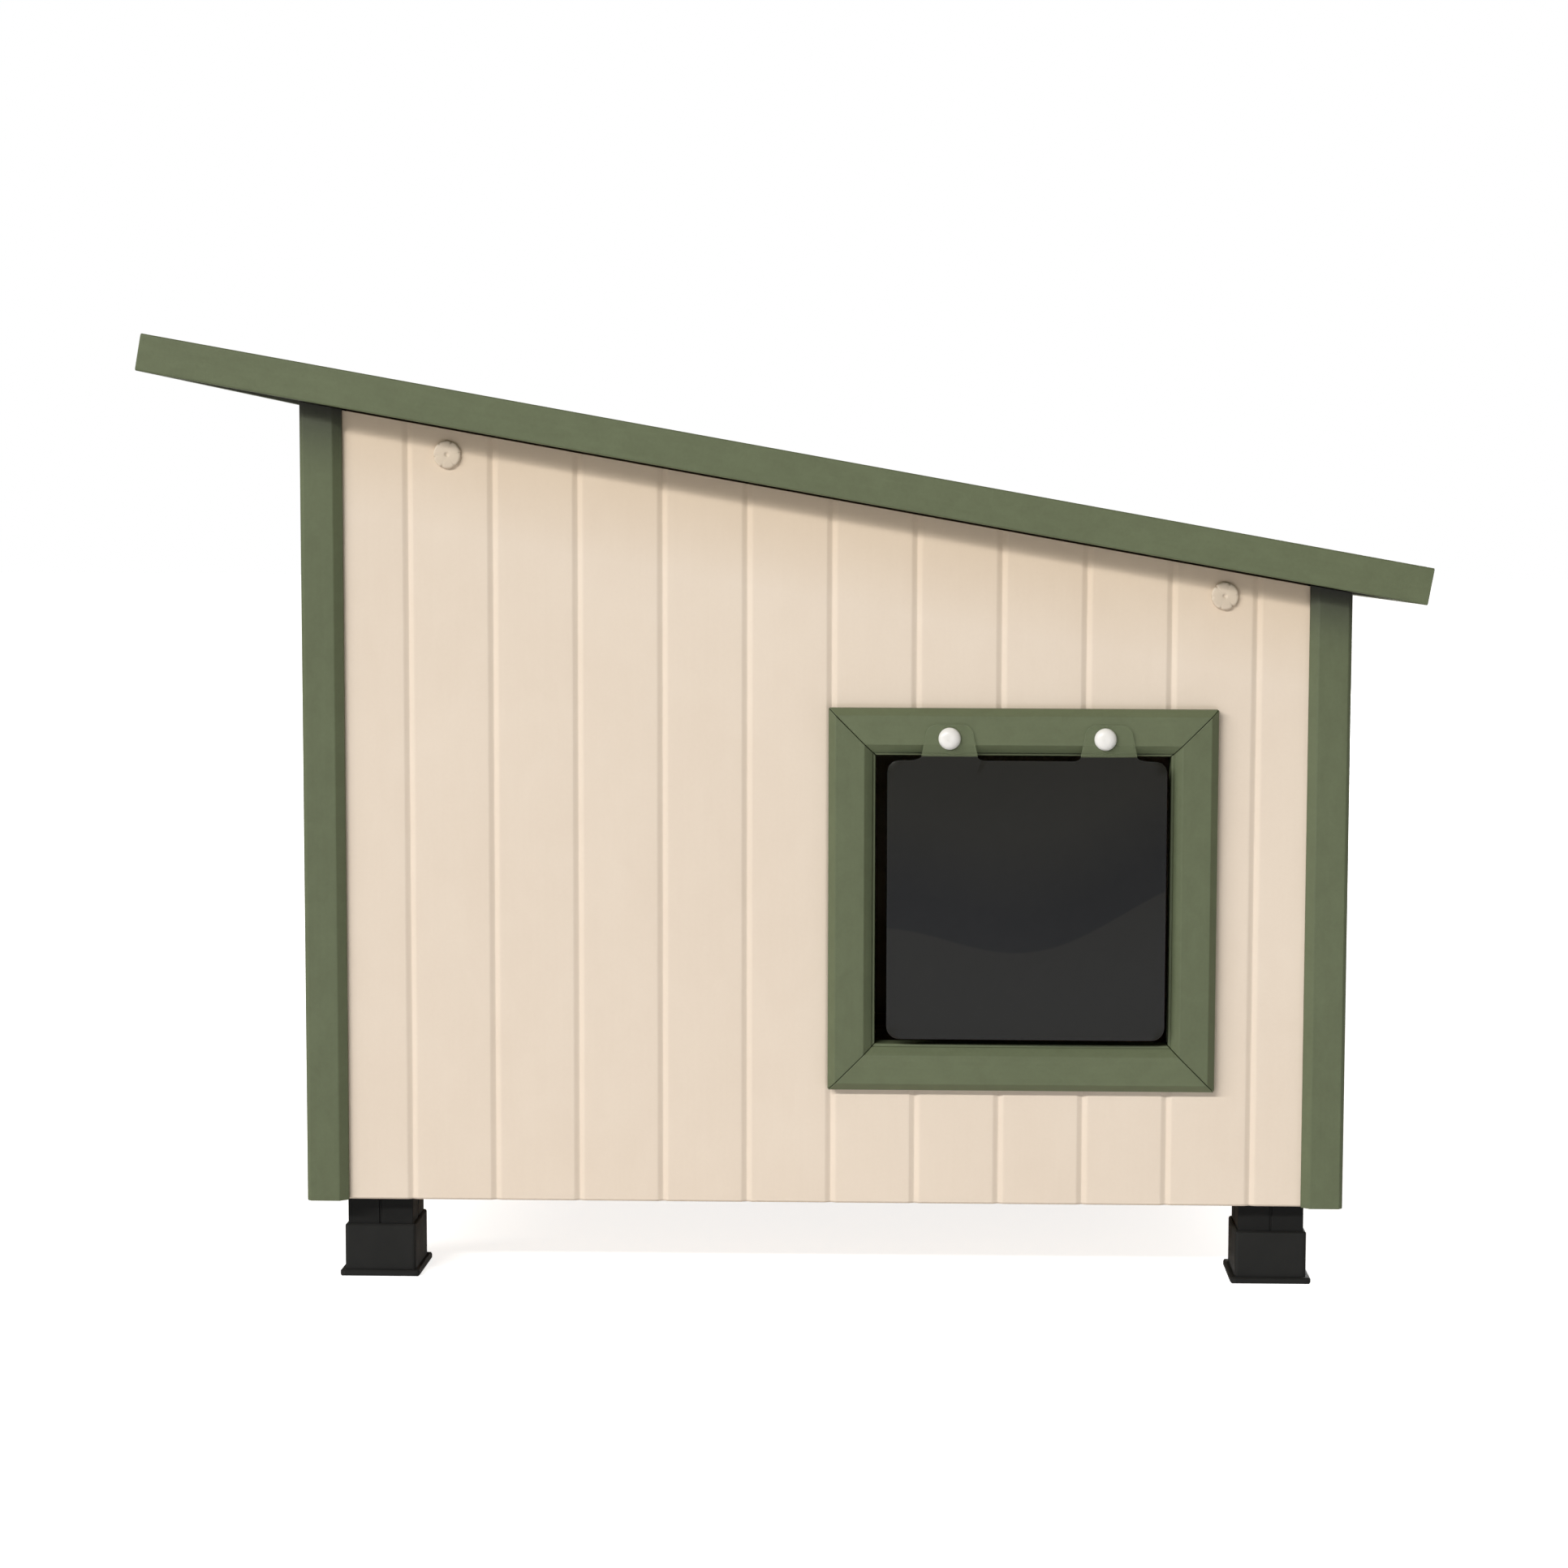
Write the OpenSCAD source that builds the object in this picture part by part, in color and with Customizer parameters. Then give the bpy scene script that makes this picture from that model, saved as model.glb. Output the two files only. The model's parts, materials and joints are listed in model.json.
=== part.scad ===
// Outdoor cat house: a cabin of grooved boards slotted into four corner posts, a hinged
// single-slope roof, a framed doorway with a clear swinging flap, and four shod legs.
// Millimetres. X runs along the front from the high side to the low side, Y runs from the
// front to the back, Z is up. The origin is on the ground under the middle of the roof.

/* [Cabin] */
// Width of the cabin over the corner posts
body_w = 568; // [520:1:640]
// Depth of the cabin over the corner posts
body_d = 498; // [420:1:600]
// Height of the high post, from the walls' bottom edge to the roof's underside
high_h = 437; // [420:1:500]
// Slope of the roof, in degrees
roof_pitch = 10; // [6:0.5:12]
// Height of the walls' bottom edge above the ground
wall_clear = 45.5; // [40:0.5:80]

/* [Corner posts] */
// Face width of a corner post
post_w = 22.5; // [21:0.5:26]
// How far the posts stand proud of the wall boards
post_proud = 6; // [4:0.5:7]
// Depth of the slots that hold the wall boards
slot_depth = 6; // [4:0.5:6.5]
// Chamfer on the post's outer corner
post_corner = 2; // [1:0.5:3]
// Width of the sloping edge beside the boards
post_bevel_w = 4.5; // [2:0.5:6]
// Depth of the sloping edge beside the boards
post_bevel_d = 3.5; // [1:0.5:3.75]

/* [Wall boards] */
// Thickness of the wall boards
panel_t = 8; // [6:0.5:8.5]
// Distance from groove to groove
groove_pitch = 46; // [38:1:60]
// Width of a groove at the face
groove_w = 5.5; // [3:0.5:7]
// Depth of a groove
groove_depth = 1.25; // [0.75:0.25:3]
// Flat at the bottom of a groove
groove_flat = 0.5; // [0.25:0.25:2]
// Distance from the high post's outer face to the first groove
first_groove = 57.5; // [45:0.5:70]
// Gap between the walls' top edges and the roof
panel_gap = 1; // [0.5:0.1:2]
// Chamfer along the boards' bottom edge
panel_edge = 1; // [0.5:0.25:2]

/* [Roof] */
// Thickness of the roof over its edge boards
roof_t = 20; // [18:0.5:26]
// Overhang past the high posts, measured level
high_overhang = 84; // [40:1:120]
// Overhang past the low posts, measured level
low_overhang = 37.4; // [20:0.1:120]
// Overhang past the posts at the front and at the back
end_overhang = 16; // [14:0.5:40]
// Thickness of the edge boards
fascia_t = 15; // [13:0.5:15.5]
// Thickness of the lining board under the roof
liner_t = 4; // [3:0.5:6]
// Thickness of the top board
top_board_t = 4.5; // [3:0.5:6]
// Thickness of the roofing felt
felt_t = 1.5; // [1:0.25:2]
// Width of the rafters between the two boards
rafter_w = 30; // [20:1:50]
// Number of rafters
rafter_count = 3; // [2:1:5]
// Edge chamfer of the edge boards
fascia_edge = 0.8; // [0.4:0.1:1.5]

/* [Doorway] */
// Clear width of the doorway
door_w = 160; // [140:1:180]
// Clear height of the doorway
door_h = 158; // [140:1:170]
// Distance from the high post's outer face to the middle of the doorway
door_x = 391.5; // [380:0.5:400]
// Height of the doorway's sill above the walls' bottom edge
sill_h = 89.5; // [60:0.5:95]
// Face width of the doorway moulding
trim_w = 25.5; // [22:0.5:28]
// How far the moulding stands proud of the boards
trim_proud = 9; // [7:0.5:12]
// Thickness of the tongue that lines the cut edge of the boards
tongue_t = 3; // [2:0.5:4]
// Gap at each mitred corner of the moulding
mitre_gap = 0.3; // [0.1:0.1:0.5]
// Chamfer on the moulding's outer edge
trim_outer_edge = 4; // [1:0.5:5]
// Width of the moulding's sloping inner edge
trim_inner_bevel = 4.5; // [2:0.5:7]
// Fall of the moulding's sloping inner edge
trim_bevel_fall = 3.5; // [1:0.5:4]
// Width of the lip beside the doorway
trim_lip = 1.5; // [0.5:0.25:3]
// How far the lip lies below the sloping edge
trim_lip_drop = 1.2; // [0.4:0.2:2]

/* [Flap] */
// Width of the flap
flap_w = 151; // [130:1:151]
// Height of the flap
flap_h = 152; // [130:1:152]
// Thickness of the flap's sheet
flap_t = 1.5; // [1:0.25:2]
// Corner radius of the flap
flap_corner = 7; // [4:0.5:12]
// Sideways offset of the flap from the middle of the doorway
flap_shift = 2; // [0:0.5:2]
// Gap between the doorway's top and the flap's top edge
flap_drop = 2.4; // [2:0.1:4]
// Gap between the doorway's top and the sheet where it swings
flap_clear = 0.45; // [0.3:0.05:0.6]
// Gap between the fixed and the swinging half of the sheet's bend
bend_gap = 0.3; // [0.25:0.05:0.4]
// Width of a hanging tab where it meets the flap
tab_w = 32; // [24:1:40]
// Width of a hanging tab at its top
tab_top_w = 28; // [20:1:32]
// Height of a hanging tab above the doorway
tab_h = 17; // [15:0.5:19]
// Radius of a tab's top corners
tab_corner = 8; // [4:0.5:9]
// Distance between the two tabs
tab_spacing = 84; // [70:1:100]
// Height of the push pins above the doorway
pin_rise = 9.5; // [8.5:0.25:10]
// Diameter of a push pin's head
pin_head_d = 12; // [10:0.5:13]
// Height of a push pin's head
pin_head_h = 3.4; // [2:0.1:4]
// Straight rim under the dome of a push pin's head
pin_rim = 0.8; // [0.4:0.1:1.5]
// Diameter of a push pin's shank
pin_d = 4; // [3:0.5:5]
// Diameter of the caps on the push pins' inner ends
cap_d = 12; // [10:0.5:14]
// Thickness of the caps on the push pins' inner ends
cap_h = 3; // [2:0.5:4]

/* [Legs] */
// Width of a leg
leg_w = 36; // [30:1:44]
// Distance from a post's outer faces to the leg
leg_inset = 19; // [17:0.5:20.5]
// How far a leg's upper end is stepped back beside the boards
leg_step = 4.5; // [4.5:0.5:8]
// Width of the line moulded down each face of a leg
leg_line_w = 1.2; // [0.6:0.1:2]
// Depth of the line moulded down each face of a leg
leg_line_d = 0.8; // [0.4:0.1:1.5]
// Height of a leg's shoe
shoe_h = 29; // [22:0.5:34]
// Wall thickness of a shoe
shoe_wall = 1.5; // [1:0.25:3]
// Floor thickness of a shoe
shoe_floor = 3.5; // [3:0.5:6]
// Chamfer on a shoe's top rim
shoe_edge = 1; // [0.5:0.25:1.25]
// Radius of a shoe's upright edges
shoe_corner = 2; // [1:0.25:3]
// How far a shoe's bottom flange stands out
flange_out = 2.6; // [1.5:0.1:6]
// Height of a shoe's bottom flange
flange_h = 3.6; // [2.4:0.2:6]
// Chamfer on the long edges of a shoe's bottom flange
flange_edge = 1; // [0.4:0.1:1.1]
// Corner radius of a shoe's bottom flange
flange_corner = 3; // [2:0.5:6]

/* [Inner frame] */
// Height of the top rails, square to the roof
rail_h = 28; // [26:1:34]
// Thickness of the top rails
rail_t = 15; // [12:0.5:20]
// Height of the floor bearers
bearer_h = 20; // [16:1:30]
// Thickness of the floor bearers
bearer_t = 20; // [15:1:30]
// Height of the bearers above the walls' bottom edge
bearer_lift = 2; // [1:0.5:8]
// Thickness of the floor board
floor_t = 8; // [6:0.5:12]
// Length of a corner bracket's arm
bracket_l = 25; // [20:1:30]
// Height of a corner bracket
bracket_h = 18; // [12:1:18]
// Thickness of a corner bracket
bracket_t = 2; // [1.5:0.25:3]
// Distance of a bracket's screw from the end of its arm
bracket_screw_in = 8; // [6:0.5:9]
// Distance of the outer bearer screws from the legs
bearer_screw_in = 30; // [15:1:60]
// Distance of the floor screws from the sides of a leg
floor_screw_in = 7; // [6:0.5:10]

/* [Bolts and screws] */
// Diameter of a notched bolt's head
bolt_head_d = 15; // [14:0.5:20]
// Height of a notched bolt's head
bolt_head_h = 4; // [3:0.5:6]
// Diameter of a notched bolt's shank
bolt_d = 8; // [6:0.5:9]
// Thickness of the round nut
nut_h = 6; // [4:0.5:8]
// Radius of the round rim of a bolt's head and of its nut
bolt_rim = 1.2; // [0.5:0.1:1.8]
// Number of notches round a bolt's head
notch_count = 6; // [4:1:10]
// Diameter of a notch
notch_d = 2.4; // [1.7:0.1:3]
// Depth of a notch
notch_depth = 0.8; // [0.5:0.1:0.8]
// Diameter of the dimple in the middle of a bolt's head
dimple_d = 3; // [2:0.5:5]
// Depth of that dimple
dimple_depth = 1; // [0.5:0.1:1.5]
// Distance of the bolt from the high post, along the slope
bolt_from_high = 83; // [60:1:95]
// Distance of the bolt from the low post, along the slope
bolt_from_low = 67; // [60:1:90]
// Diameter of a wood screw's shank
screw_d = 4; // [3:0.5:4]
// Diameter of a wood screw's head
screw_head_d = 7.5; // [6:0.5:8]
// How far a wood screw bites past the first piece
screw_bite = 6; // [4:0.5:6.5]

/* [Roof hinges] */
// Length of a hinge
hinge_l = 44; // [40:1:60]
// Radius of a hinge knuckle
knuckle_r = 4.5; // [4:0.1:5]
// Diameter of a hinge pin
hinge_pin_d = 3; // [2.5:0.1:4]
// Diameter of the heads on a hinge pin
hinge_pin_head_d = 4.8; // [4:0.1:6]
// Thickness of the heads on a hinge pin
hinge_pin_head_t = 0.8; // [0.5:0.1:1.5]
// Length of the middle knuckle
knuckle_mid = 20.4; // [14:0.2:24]
// Clear height between the knuckles and the roof
knuckle_clear = 1.5; // [1:0.1:2]
// Thickness of the leaf under the roof's back edge
leaf_t = 2.5; // [2.2:0.1:3]
// Margin between the leaf and the roof's back edge
leaf_margin = 1.5; // [0.5:0.25:3]
// Distance between neighbouring screws of a leaf
leaf_screw_step = 16; // [12:1:17]
// Height of the hinge base on the back wall
base_h = 24; // [21:1:28]
// Distance between the two screws of a base
base_screw_step = 26; // [18:1:30]
// Distance of the base's screws below the hinge axis
base_screw_drop = 14; // [12:0.5:15]
// Distance of the hinges from the posts, along the slope
hinge_from_post = 150; // [125:1:200]

/* [Fits] */
// Gap between the roof and what it rests on
lid_gap = 0.3; // [0.2:0.1:0.5]
// Sideways clearance of boards in slots and legs in shoes
slide_fit = 0.2; // [0.1:0.05:0.3]
// Radial clearance of pins and shanks in their holes
run_fit = 0.05; // [0.02:0.01:0.1]
// Gap between a hinge's moving and fixed parts
knuckle_gap = 0.4; // [0.3:0.05:0.5]

/* [Hidden] */
$fn = 48;
// Reach of a cutter that goes right through
far = 1000;
// Reach of a cutter past a face
over = 1;
// Allowance that keeps a cutter off an edge
sliver = 0.01;
roof_l = (high_overhang + body_w + low_overhang) / cos(roof_pitch);
roof_d = body_d + 2 * end_overhang;
roof_run = roof_l * cos(roof_pitch) + roof_t * sin(roof_pitch);
body_left = -roof_run / 2 + high_overhang;
body_right = body_left + body_w;
face_y = -body_d / 2;
board_y = face_y + post_proud;
inner_y = board_y + panel_t;
wall_in = post_proud + panel_t;
slope_w = body_w / cos(roof_pitch);
roof_start = -high_overhang / cos(roof_pitch);
slot_edge = post_w - slot_depth;
side_grooves = floor((body_d - 2 * post_w - groove_pitch) / groove_pitch) + 1;
front_grooves = floor((body_w - post_w - first_groove - groove_w) / groove_pitch) + 1;
floor_z = wall_clear + bearer_lift + bearer_h;
floor_top = floor_z + floor_t;
door_cx = body_left + door_x;
door_bottom = wall_clear + sill_h;
door_top = door_bottom + door_h;
trim_face_y = board_y - trim_proud;
flap_cx = door_cx + flap_shift;
flap_y = trim_face_y - flap_t / 2;
flap_axis_z = door_top - flap_clear - flap_t / 2;
flap_bottom = door_top - flap_drop - flap_h;
pin_z = door_top + pin_rise;
leg_foot = shoe_floor;
shoe_w = leg_w + 2 * (slide_fit + shoe_wall);
bolt_drop = lid_gap + rail_h / 2;
hinge_in = post_proud - knuckle_r - knuckle_gap;
hinge_drop = knuckle_r + knuckle_clear;
hinge_y = body_d / 2 - hinge_in;
leaf_low = hinge_drop - leaf_t;
leaf_start = sqrt(pow(knuckle_r + knuckle_gap, 2) - pow(leaf_low, 2));
swing_r = norm([leaf_start, leaf_low]) + knuckle_gap;
leaf_out = end_overhang + hinge_in - leaf_margin;
leaf_screw_y = end_overhang + hinge_in - fascia_t / 2;
hinge_spots = [hinge_from_post, slope_w - hinge_from_post];
screw_head_h = (screw_head_d - screw_d) / 2;
floor_screw_l = floor_t + 3 * screw_bite;
bearer_screw_l = bearer_t + screw_bite;
rail_screw_l = rail_t + screw_bite;
bracket_screw_l = bracket_t + 1.5 * screw_bite;
base_screw_l = post_proud + panel_t + 2 * screw_bite;
leaf_screw_l = leaf_t + 1.5 * screw_bite;
rail_end = post_w + slide_fit;
leg_end = leg_inset + leg_w;
bearer_mid = wall_clear + bearer_lift + bearer_h / 2;
bracket_in = wall_in + rail_t;
core_t = roof_t - liner_t - top_board_t - felt_t;
core_l = roof_l - 2 * fascia_t;
core_d = roof_d - 2 * fascia_t;

// Height of the roof's underside at a place along X
function under_z(x) = wall_clear + high_h - (x - body_left) * tan(roof_pitch);

// Points of an arc, for outlines with round corners
function arc(cx, cy, r, a0, a1, n = 8) =
    [for (i = [0:n]) let (a = a0 + (a1 - a0) * i / n) [cx + r * cos(a), cy + r * sin(a)]];

// Places children in the roof's own frame: x along the slope from the high post's outer
// face, y towards the back, z square to the roof with 0 at its underside
module on_slope() {
    translate([body_left, 0, wall_clear + high_h])
        rotate([0, roof_pitch, 0])
            children();
}

// Everything that lies at least a gap below the roof's underside
module below_roof(gap) {
    on_slope()
        translate([-far, -far, -gap - 2 * far])
            cube([3 * far, 2 * far, 2 * far]);
}

// Puts a piece drawn for a cabin corner at the origin into each corner of the cabin
module at_corner(low = false, back = false) {
    translate([low ? body_right : body_left, back ? -face_y : face_y, 0])
        mirror([low ? 1 : 0, 0, 0])
            mirror([0, back ? 1 : 0, 0])
                children();
}

// Stands a Y-Z drawing's extrusion along X
module along_x(length) {
    rotate([90, 0, 90])
        linear_extrude(length)
            children();
}

// Stands an X-Z drawing's extrusion along Y, from y = 0 backwards
module along_y(length) {
    translate([0, length, 0])
        rotate([90, 0, 0])
            linear_extrude(length)
                children();
}

// Wood screw that points down from z = 0, countersunk, with a grown copy as its hole
module screw(length, grow = 0) {
    r = screw_d / 2 + grow;
    head = screw_head_d / 2 + grow;
    rise = grow > 0 ? over : 0;
    rotate_extrude()
        polygon([
            [0, rise], [head, rise], [head, 0], [r, -screw_head_h],
            [r, -length + screw_d / 2], [0, -length - grow]
        ]);
}

// Wall boards

module groove() {
    linear_extrude(2 * far, center = true)
        polygon([
            [-groove_w / 2, -over], [-groove_w / 2, 0], [-groove_flat / 2, groove_depth],
            [groove_flat / 2, groove_depth], [groove_w / 2, 0], [groove_w / 2, -over]
        ]);
}

// Board that faces the front, standing between the slots of two posts
module long_wall() {
    start = slot_edge + slide_fit;
    length = body_w - 2 * start;
    intersection() {
        difference() {
            translate([body_left + start, board_y, wall_clear])
                along_x(length)
                    polygon([
                        [panel_edge, 0], [panel_t, 0], [panel_t, far], [0, far],
                        [0, panel_edge]
                    ]);
            for (i = [0:front_grooves - 1])
                translate([body_left + first_groove + i * groove_pitch, board_y, 0])
                    groove();
            at_rail_bolts()
                cylinder(h = far, r = bolt_d / 2 + run_fit, center = true);
        }
        below_roof(panel_gap);
    }
}

// Board that closes one side, drawn for the high side
module side_wall() {
    start = slot_edge + slide_fit;
    length = body_d - 2 * start;
    first = (body_d - (side_grooves - 1) * groove_pitch) / 2;
    difference() {
        translate([post_proud, face_y + start, wall_clear])
            along_y(length)
                polygon([
                    [panel_edge, 0], [panel_t, 0], [panel_t, far], [0, far],
                    [0, panel_edge]
                ]);
        for (i = [0:side_grooves - 1])
            translate([post_proud, face_y + first + i * groove_pitch, 0])
                rotate([0, 0, -90])
                    groove();
    }
}

module front_panel() {
    hole = tongue_t + slide_fit;
    color("#e8d9c4")
        difference() {
            long_wall();
            translate([door_cx - door_w / 2 - hole, board_y - over, door_bottom - hole])
                cube([door_w + 2 * hole, panel_t + 2 * over, door_h + 2 * hole]);
            at_flap_pins()
                cylinder(h = far, r = pin_d / 2 + run_fit, center = true);
            front_wall_bearer_holes();
        }
}

module back_panel() {
    color("#e8d9c4")
        difference() {
            mirror([0, 1, 0]) long_wall();
            mirror([0, 1, 0]) front_wall_bearer_holes();
            at_hinge_base_screws() screw(base_screw_l, run_fit);
        }
}

module high_side_panel() {
    color("#e8d9c4")
        difference() {
            intersection() {
                translate([body_left, 0, 0]) side_wall();
                below_roof(panel_gap);
            }
            at_side_bearer_screws(false) screw(bearer_screw_l, run_fit);
            at_side_rail_screws(false) screw(rail_screw_l, run_fit);
        }
}

module low_side_panel() {
    color("#e8d9c4")
        difference() {
            intersection() {
                translate([body_right, 0, 0]) mirror([1, 0, 0]) side_wall();
                below_roof(panel_gap);
            }
            at_side_bearer_screws(true) screw(bearer_screw_l, run_fit);
            at_side_rail_screws(true) screw(rail_screw_l, run_fit);
        }
}

// Corner posts

// One corner post, slotted for the two wall boards that meet in it
module post(low, back) {
    far_slot = wall_in + slide_fit;
    color("#6c7558")
        intersection() {
            at_corner(low, back)
                translate([0, 0, wall_clear])
                    linear_extrude(far)
                        polygon([
                            [post_corner, 0], [post_w - post_bevel_w, 0],
                            [post_w, post_bevel_d], [post_w, post_proud],
                            [slot_edge, post_proud], [slot_edge, far_slot],
                            [post_w, far_slot], [post_w, post_w],
                            [far_slot, post_w], [far_slot, slot_edge],
                            [post_proud, slot_edge], [post_proud, post_w],
                            [post_bevel_d, post_w], [0, post_w - post_bevel_w],
                            [0, post_corner]
                        ]);
            below_roof(lid_gap);
        }
}

module front_high_post() { post(false, false); }
module front_low_post() { post(true, false); }
module back_high_post() { post(false, true); }
module back_low_post() { post(true, true); }

// Top rails and their corner brackets

// Rail behind the front wall, cut plumb where it meets the posts
module long_rail() {
    difference() {
        intersection() {
            on_slope()
                translate([-far, inner_y, -lid_gap - rail_h])
                    cube([3 * far, rail_t, rail_h]);
            translate([body_left + rail_end, -far, 0])
                cube([body_w - 2 * rail_end, 2 * far, far]);
        }
        at_rail_bolts()
            cylinder(h = far, r = bolt_d / 2 + run_fit, center = true);
        at_bracket_screws(false, false, true) screw(bracket_screw_l, run_fit);
        at_bracket_screws(true, false, true) screw(bracket_screw_l, run_fit);
    }
}

module front_top_rail() {
    color("#d9c6a8") long_rail();
}

module back_top_rail() {
    color("#d9c6a8")
        difference() {
            mirror([0, 1, 0]) long_rail();
            at_hinge_base_screws() screw(base_screw_l, run_fit);
        }
}

// Rail inside a side wall, between the two long rails
module side_rail(low) {
    x = low ? body_right - wall_in - rail_t : body_left + wall_in;
    base = under_z(x + (low ? rail_t : 0)) - rail_h - lid_gap;
    y = face_y + wall_in + rail_t;
    color("#d9c6a8")
        difference() {
            intersection() {
                translate([x, y, base]) cube([rail_t, -2 * y, far]);
                below_roof(lid_gap);
            }
            at_side_rail_screws(low) screw(rail_screw_l, run_fit);
            at_bracket_screws(low, false, false) screw(bracket_screw_l, run_fit);
            at_bracket_screws(low, true, false) screw(bracket_screw_l, run_fit);
        }
}

module high_top_rail() { side_rail(false); }
module low_top_rail() { side_rail(true); }

// Height of a bracket's middle, set in the middle of the rail that slopes past it
function bracket_z(low) =
    let (reach = bracket_in + bracket_l / 2)
    under_z(low ? body_right - reach : body_left + reach) - lid_gap - rail_h / 2;

// Where a bracket's two screws go in: one into the long rail, one into the side rail
module at_bracket_screws(low, back, long) {
    at_corner(low, back)
        translate([0, 0, bracket_z(low)])
            if (long)
                translate([bracket_in + bracket_l - bracket_screw_in, bracket_in + bracket_t, 0])
                    rotate([-90, 0, 0]) children();
            else
                translate([bracket_in + bracket_t, bracket_in + bracket_l - bracket_screw_in, 0])
                    rotate([0, 90, 0]) children();
}

module corner_brackets() {
    color("#a9a9a4")
        for (low = [false, true], back = [false, true])
            difference() {
                at_corner(low, back)
                    translate([bracket_in, bracket_in, bracket_z(low) - bracket_h / 2])
                        linear_extrude(bracket_h)
                            polygon([
                                [0, 0], [bracket_l, 0], [bracket_l, bracket_t],
                                [bracket_t, bracket_t], [bracket_t, bracket_l],
                                [0, bracket_l]
                            ]);
                at_bracket_screws(low, back, true) screw(bracket_screw_l, run_fit);
                at_bracket_screws(low, back, false) screw(bracket_screw_l, run_fit);
            }
}

module bracket_screws() {
    color("#8f8f8a")
        for (low = [false, true], back = [false, true], long = [false, true])
            at_bracket_screws(low, back, long) screw(bracket_screw_l);
}

// Floor bearers and floor

// Where screws pass from a front bearer into the front wall
module at_front_bearer_screws() {
    span = body_w - 2 * leg_end - 2 * bearer_screw_in;
    for (i = [0:2])
        translate([
            body_left + leg_end + bearer_screw_in + i * span / 2, inner_y + bearer_t,
            bearer_mid
        ])
            rotate([-90, 0, 0]) children();
}

module front_wall_bearer_holes() {
    at_front_bearer_screws() screw(bearer_screw_l, run_fit);
}

// Where screws pass from a side bearer into its side wall
module at_side_bearer_screws(low) {
    for (y = [-body_d / 4, body_d / 4])
        translate([
            low ? body_right - wall_in - bearer_t : body_left + wall_in + bearer_t,
            y, bearer_mid
        ])
            rotate([0, low ? -90 : 90, 0]) children();
}

// Where screws pass from a side rail into its side wall
module at_side_rail_screws(low) {
    x = low ? body_right - wall_in - rail_t : body_left + wall_in + rail_t;
    for (y = [-body_d / 4, body_d / 4])
        translate([x, y, under_z(x) - lid_gap - rail_h / 2])
            rotate([0, low ? -90 : 90, 0]) children();
}

module long_bearer() {
    difference() {
        translate([body_left + leg_end, inner_y, wall_clear + bearer_lift])
            cube([body_w - 2 * leg_end, bearer_t, bearer_h]);
        front_wall_bearer_holes();
    }
}

module front_bearer() {
    color("#d9c6a8") long_bearer();
}

module back_bearer() {
    color("#d9c6a8") mirror([0, 1, 0]) long_bearer();
}

module side_bearer(low) {
    x = low ? body_right - wall_in - bearer_t : body_left + wall_in;
    color("#d9c6a8")
        difference() {
            translate([x, face_y + leg_end, wall_clear + bearer_lift])
                cube([bearer_t, body_d - 2 * leg_end, bearer_h]);
            at_side_bearer_screws(low) screw(bearer_screw_l, run_fit);
        }
}

module high_bearer() { side_bearer(false); }
module low_bearer() { side_bearer(true); }

// Two screws through the floor into the leg of one corner
module at_floor_screws(low, back) {
    at_corner(low, back)
        for (s = [leg_inset + leg_step + floor_screw_in, leg_end - floor_screw_in])
            translate([s, s, floor_top]) children();
}

// Floor board, notched round the inner corners of the posts
module floor_board() {
    edge = wall_in + slide_fit;
    notch = post_w + slide_fit;
    color("#d9c6a8")
        difference() {
            translate([body_left + edge, face_y + edge, floor_z])
                cube([body_w - 2 * edge, body_d - 2 * edge, floor_t]);
            for (low = [false, true], back = [false, true]) {
                at_corner(low, back)
                    translate([0, 0, floor_z - over])
                        cube([notch, notch, floor_t + 2 * over]);
                at_floor_screws(low, back) screw(floor_screw_l, run_fit);
            }
        }
}

module floor_screws() {
    color("#8f8f8a")
        for (low = [false, true], back = [false, true])
            at_floor_screws(low, back) screw(floor_screw_l);
}

module bearer_screws() {
    color("#8f8f8a") {
        at_front_bearer_screws() screw(bearer_screw_l);
        mirror([0, 1, 0]) at_front_bearer_screws() screw(bearer_screw_l);
        for (low = [false, true]) at_side_bearer_screws(low) screw(bearer_screw_l);
    }
}

module rail_screws() {
    color("#8f8f8a")
        for (low = [false, true]) at_side_rail_screws(low) screw(rail_screw_l);
}

// Legs and shoes

// One leg: a square foot with a line down each face, stepped back above the walls' edge
module leg(low, back) {
    shaft_h = wall_clear - leg_foot;
    tenon = leg_w - leg_step;
    color("#2c2c2e")
        difference() {
            at_corner(low, back)
                translate([leg_inset, leg_inset, leg_foot])
                    difference() {
                        union() {
                            cube([leg_w, leg_w, shaft_h]);
                            translate([leg_step, leg_step, 0])
                                cube([tenon, tenon, floor_z - leg_foot]);
                        }
                        for (a = [0:90:270])
                            translate([leg_w / 2, leg_w / 2, -over])
                                rotate([0, 0, a])
                                    translate([-leg_line_w / 2, leg_w / 2 - leg_line_d, 0])
                                        cube([
                                            leg_line_w, leg_line_d + over, shaft_h + over
                                        ]);
                    }
            at_floor_screws(low, back) screw(floor_screw_l, run_fit);
        }
}

module front_high_leg() { leg(false, false); }
module front_low_leg() { leg(true, false); }
module back_high_leg() { leg(false, true); }
module back_low_leg() { leg(true, true); }

// Square block from the origin with round upright edges, its top rim chamfered, and its
// bottom rim too if it has a bottom chamfer
module soft_block(w, h, corner, top_edge, bottom_edge = 0) {
    module side() {
        polygon([
            [bottom_edge, 0], [w - bottom_edge, 0], [w, bottom_edge], [w, h - top_edge],
            [w - top_edge, h], [top_edge, h], [0, h - top_edge], [0, bottom_edge]
        ]);
    }
    intersection() {
        along_x(w) side();
        along_y(w) side();
        linear_extrude(h)
            polygon(concat(
                arc(corner, corner, corner, 180, 270),
                arc(w - corner, corner, corner, 270, 360),
                arc(w - corner, w - corner, corner, 0, 90),
                arc(corner, w - corner, corner, 90, 180)
            ));
    }
}

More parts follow.
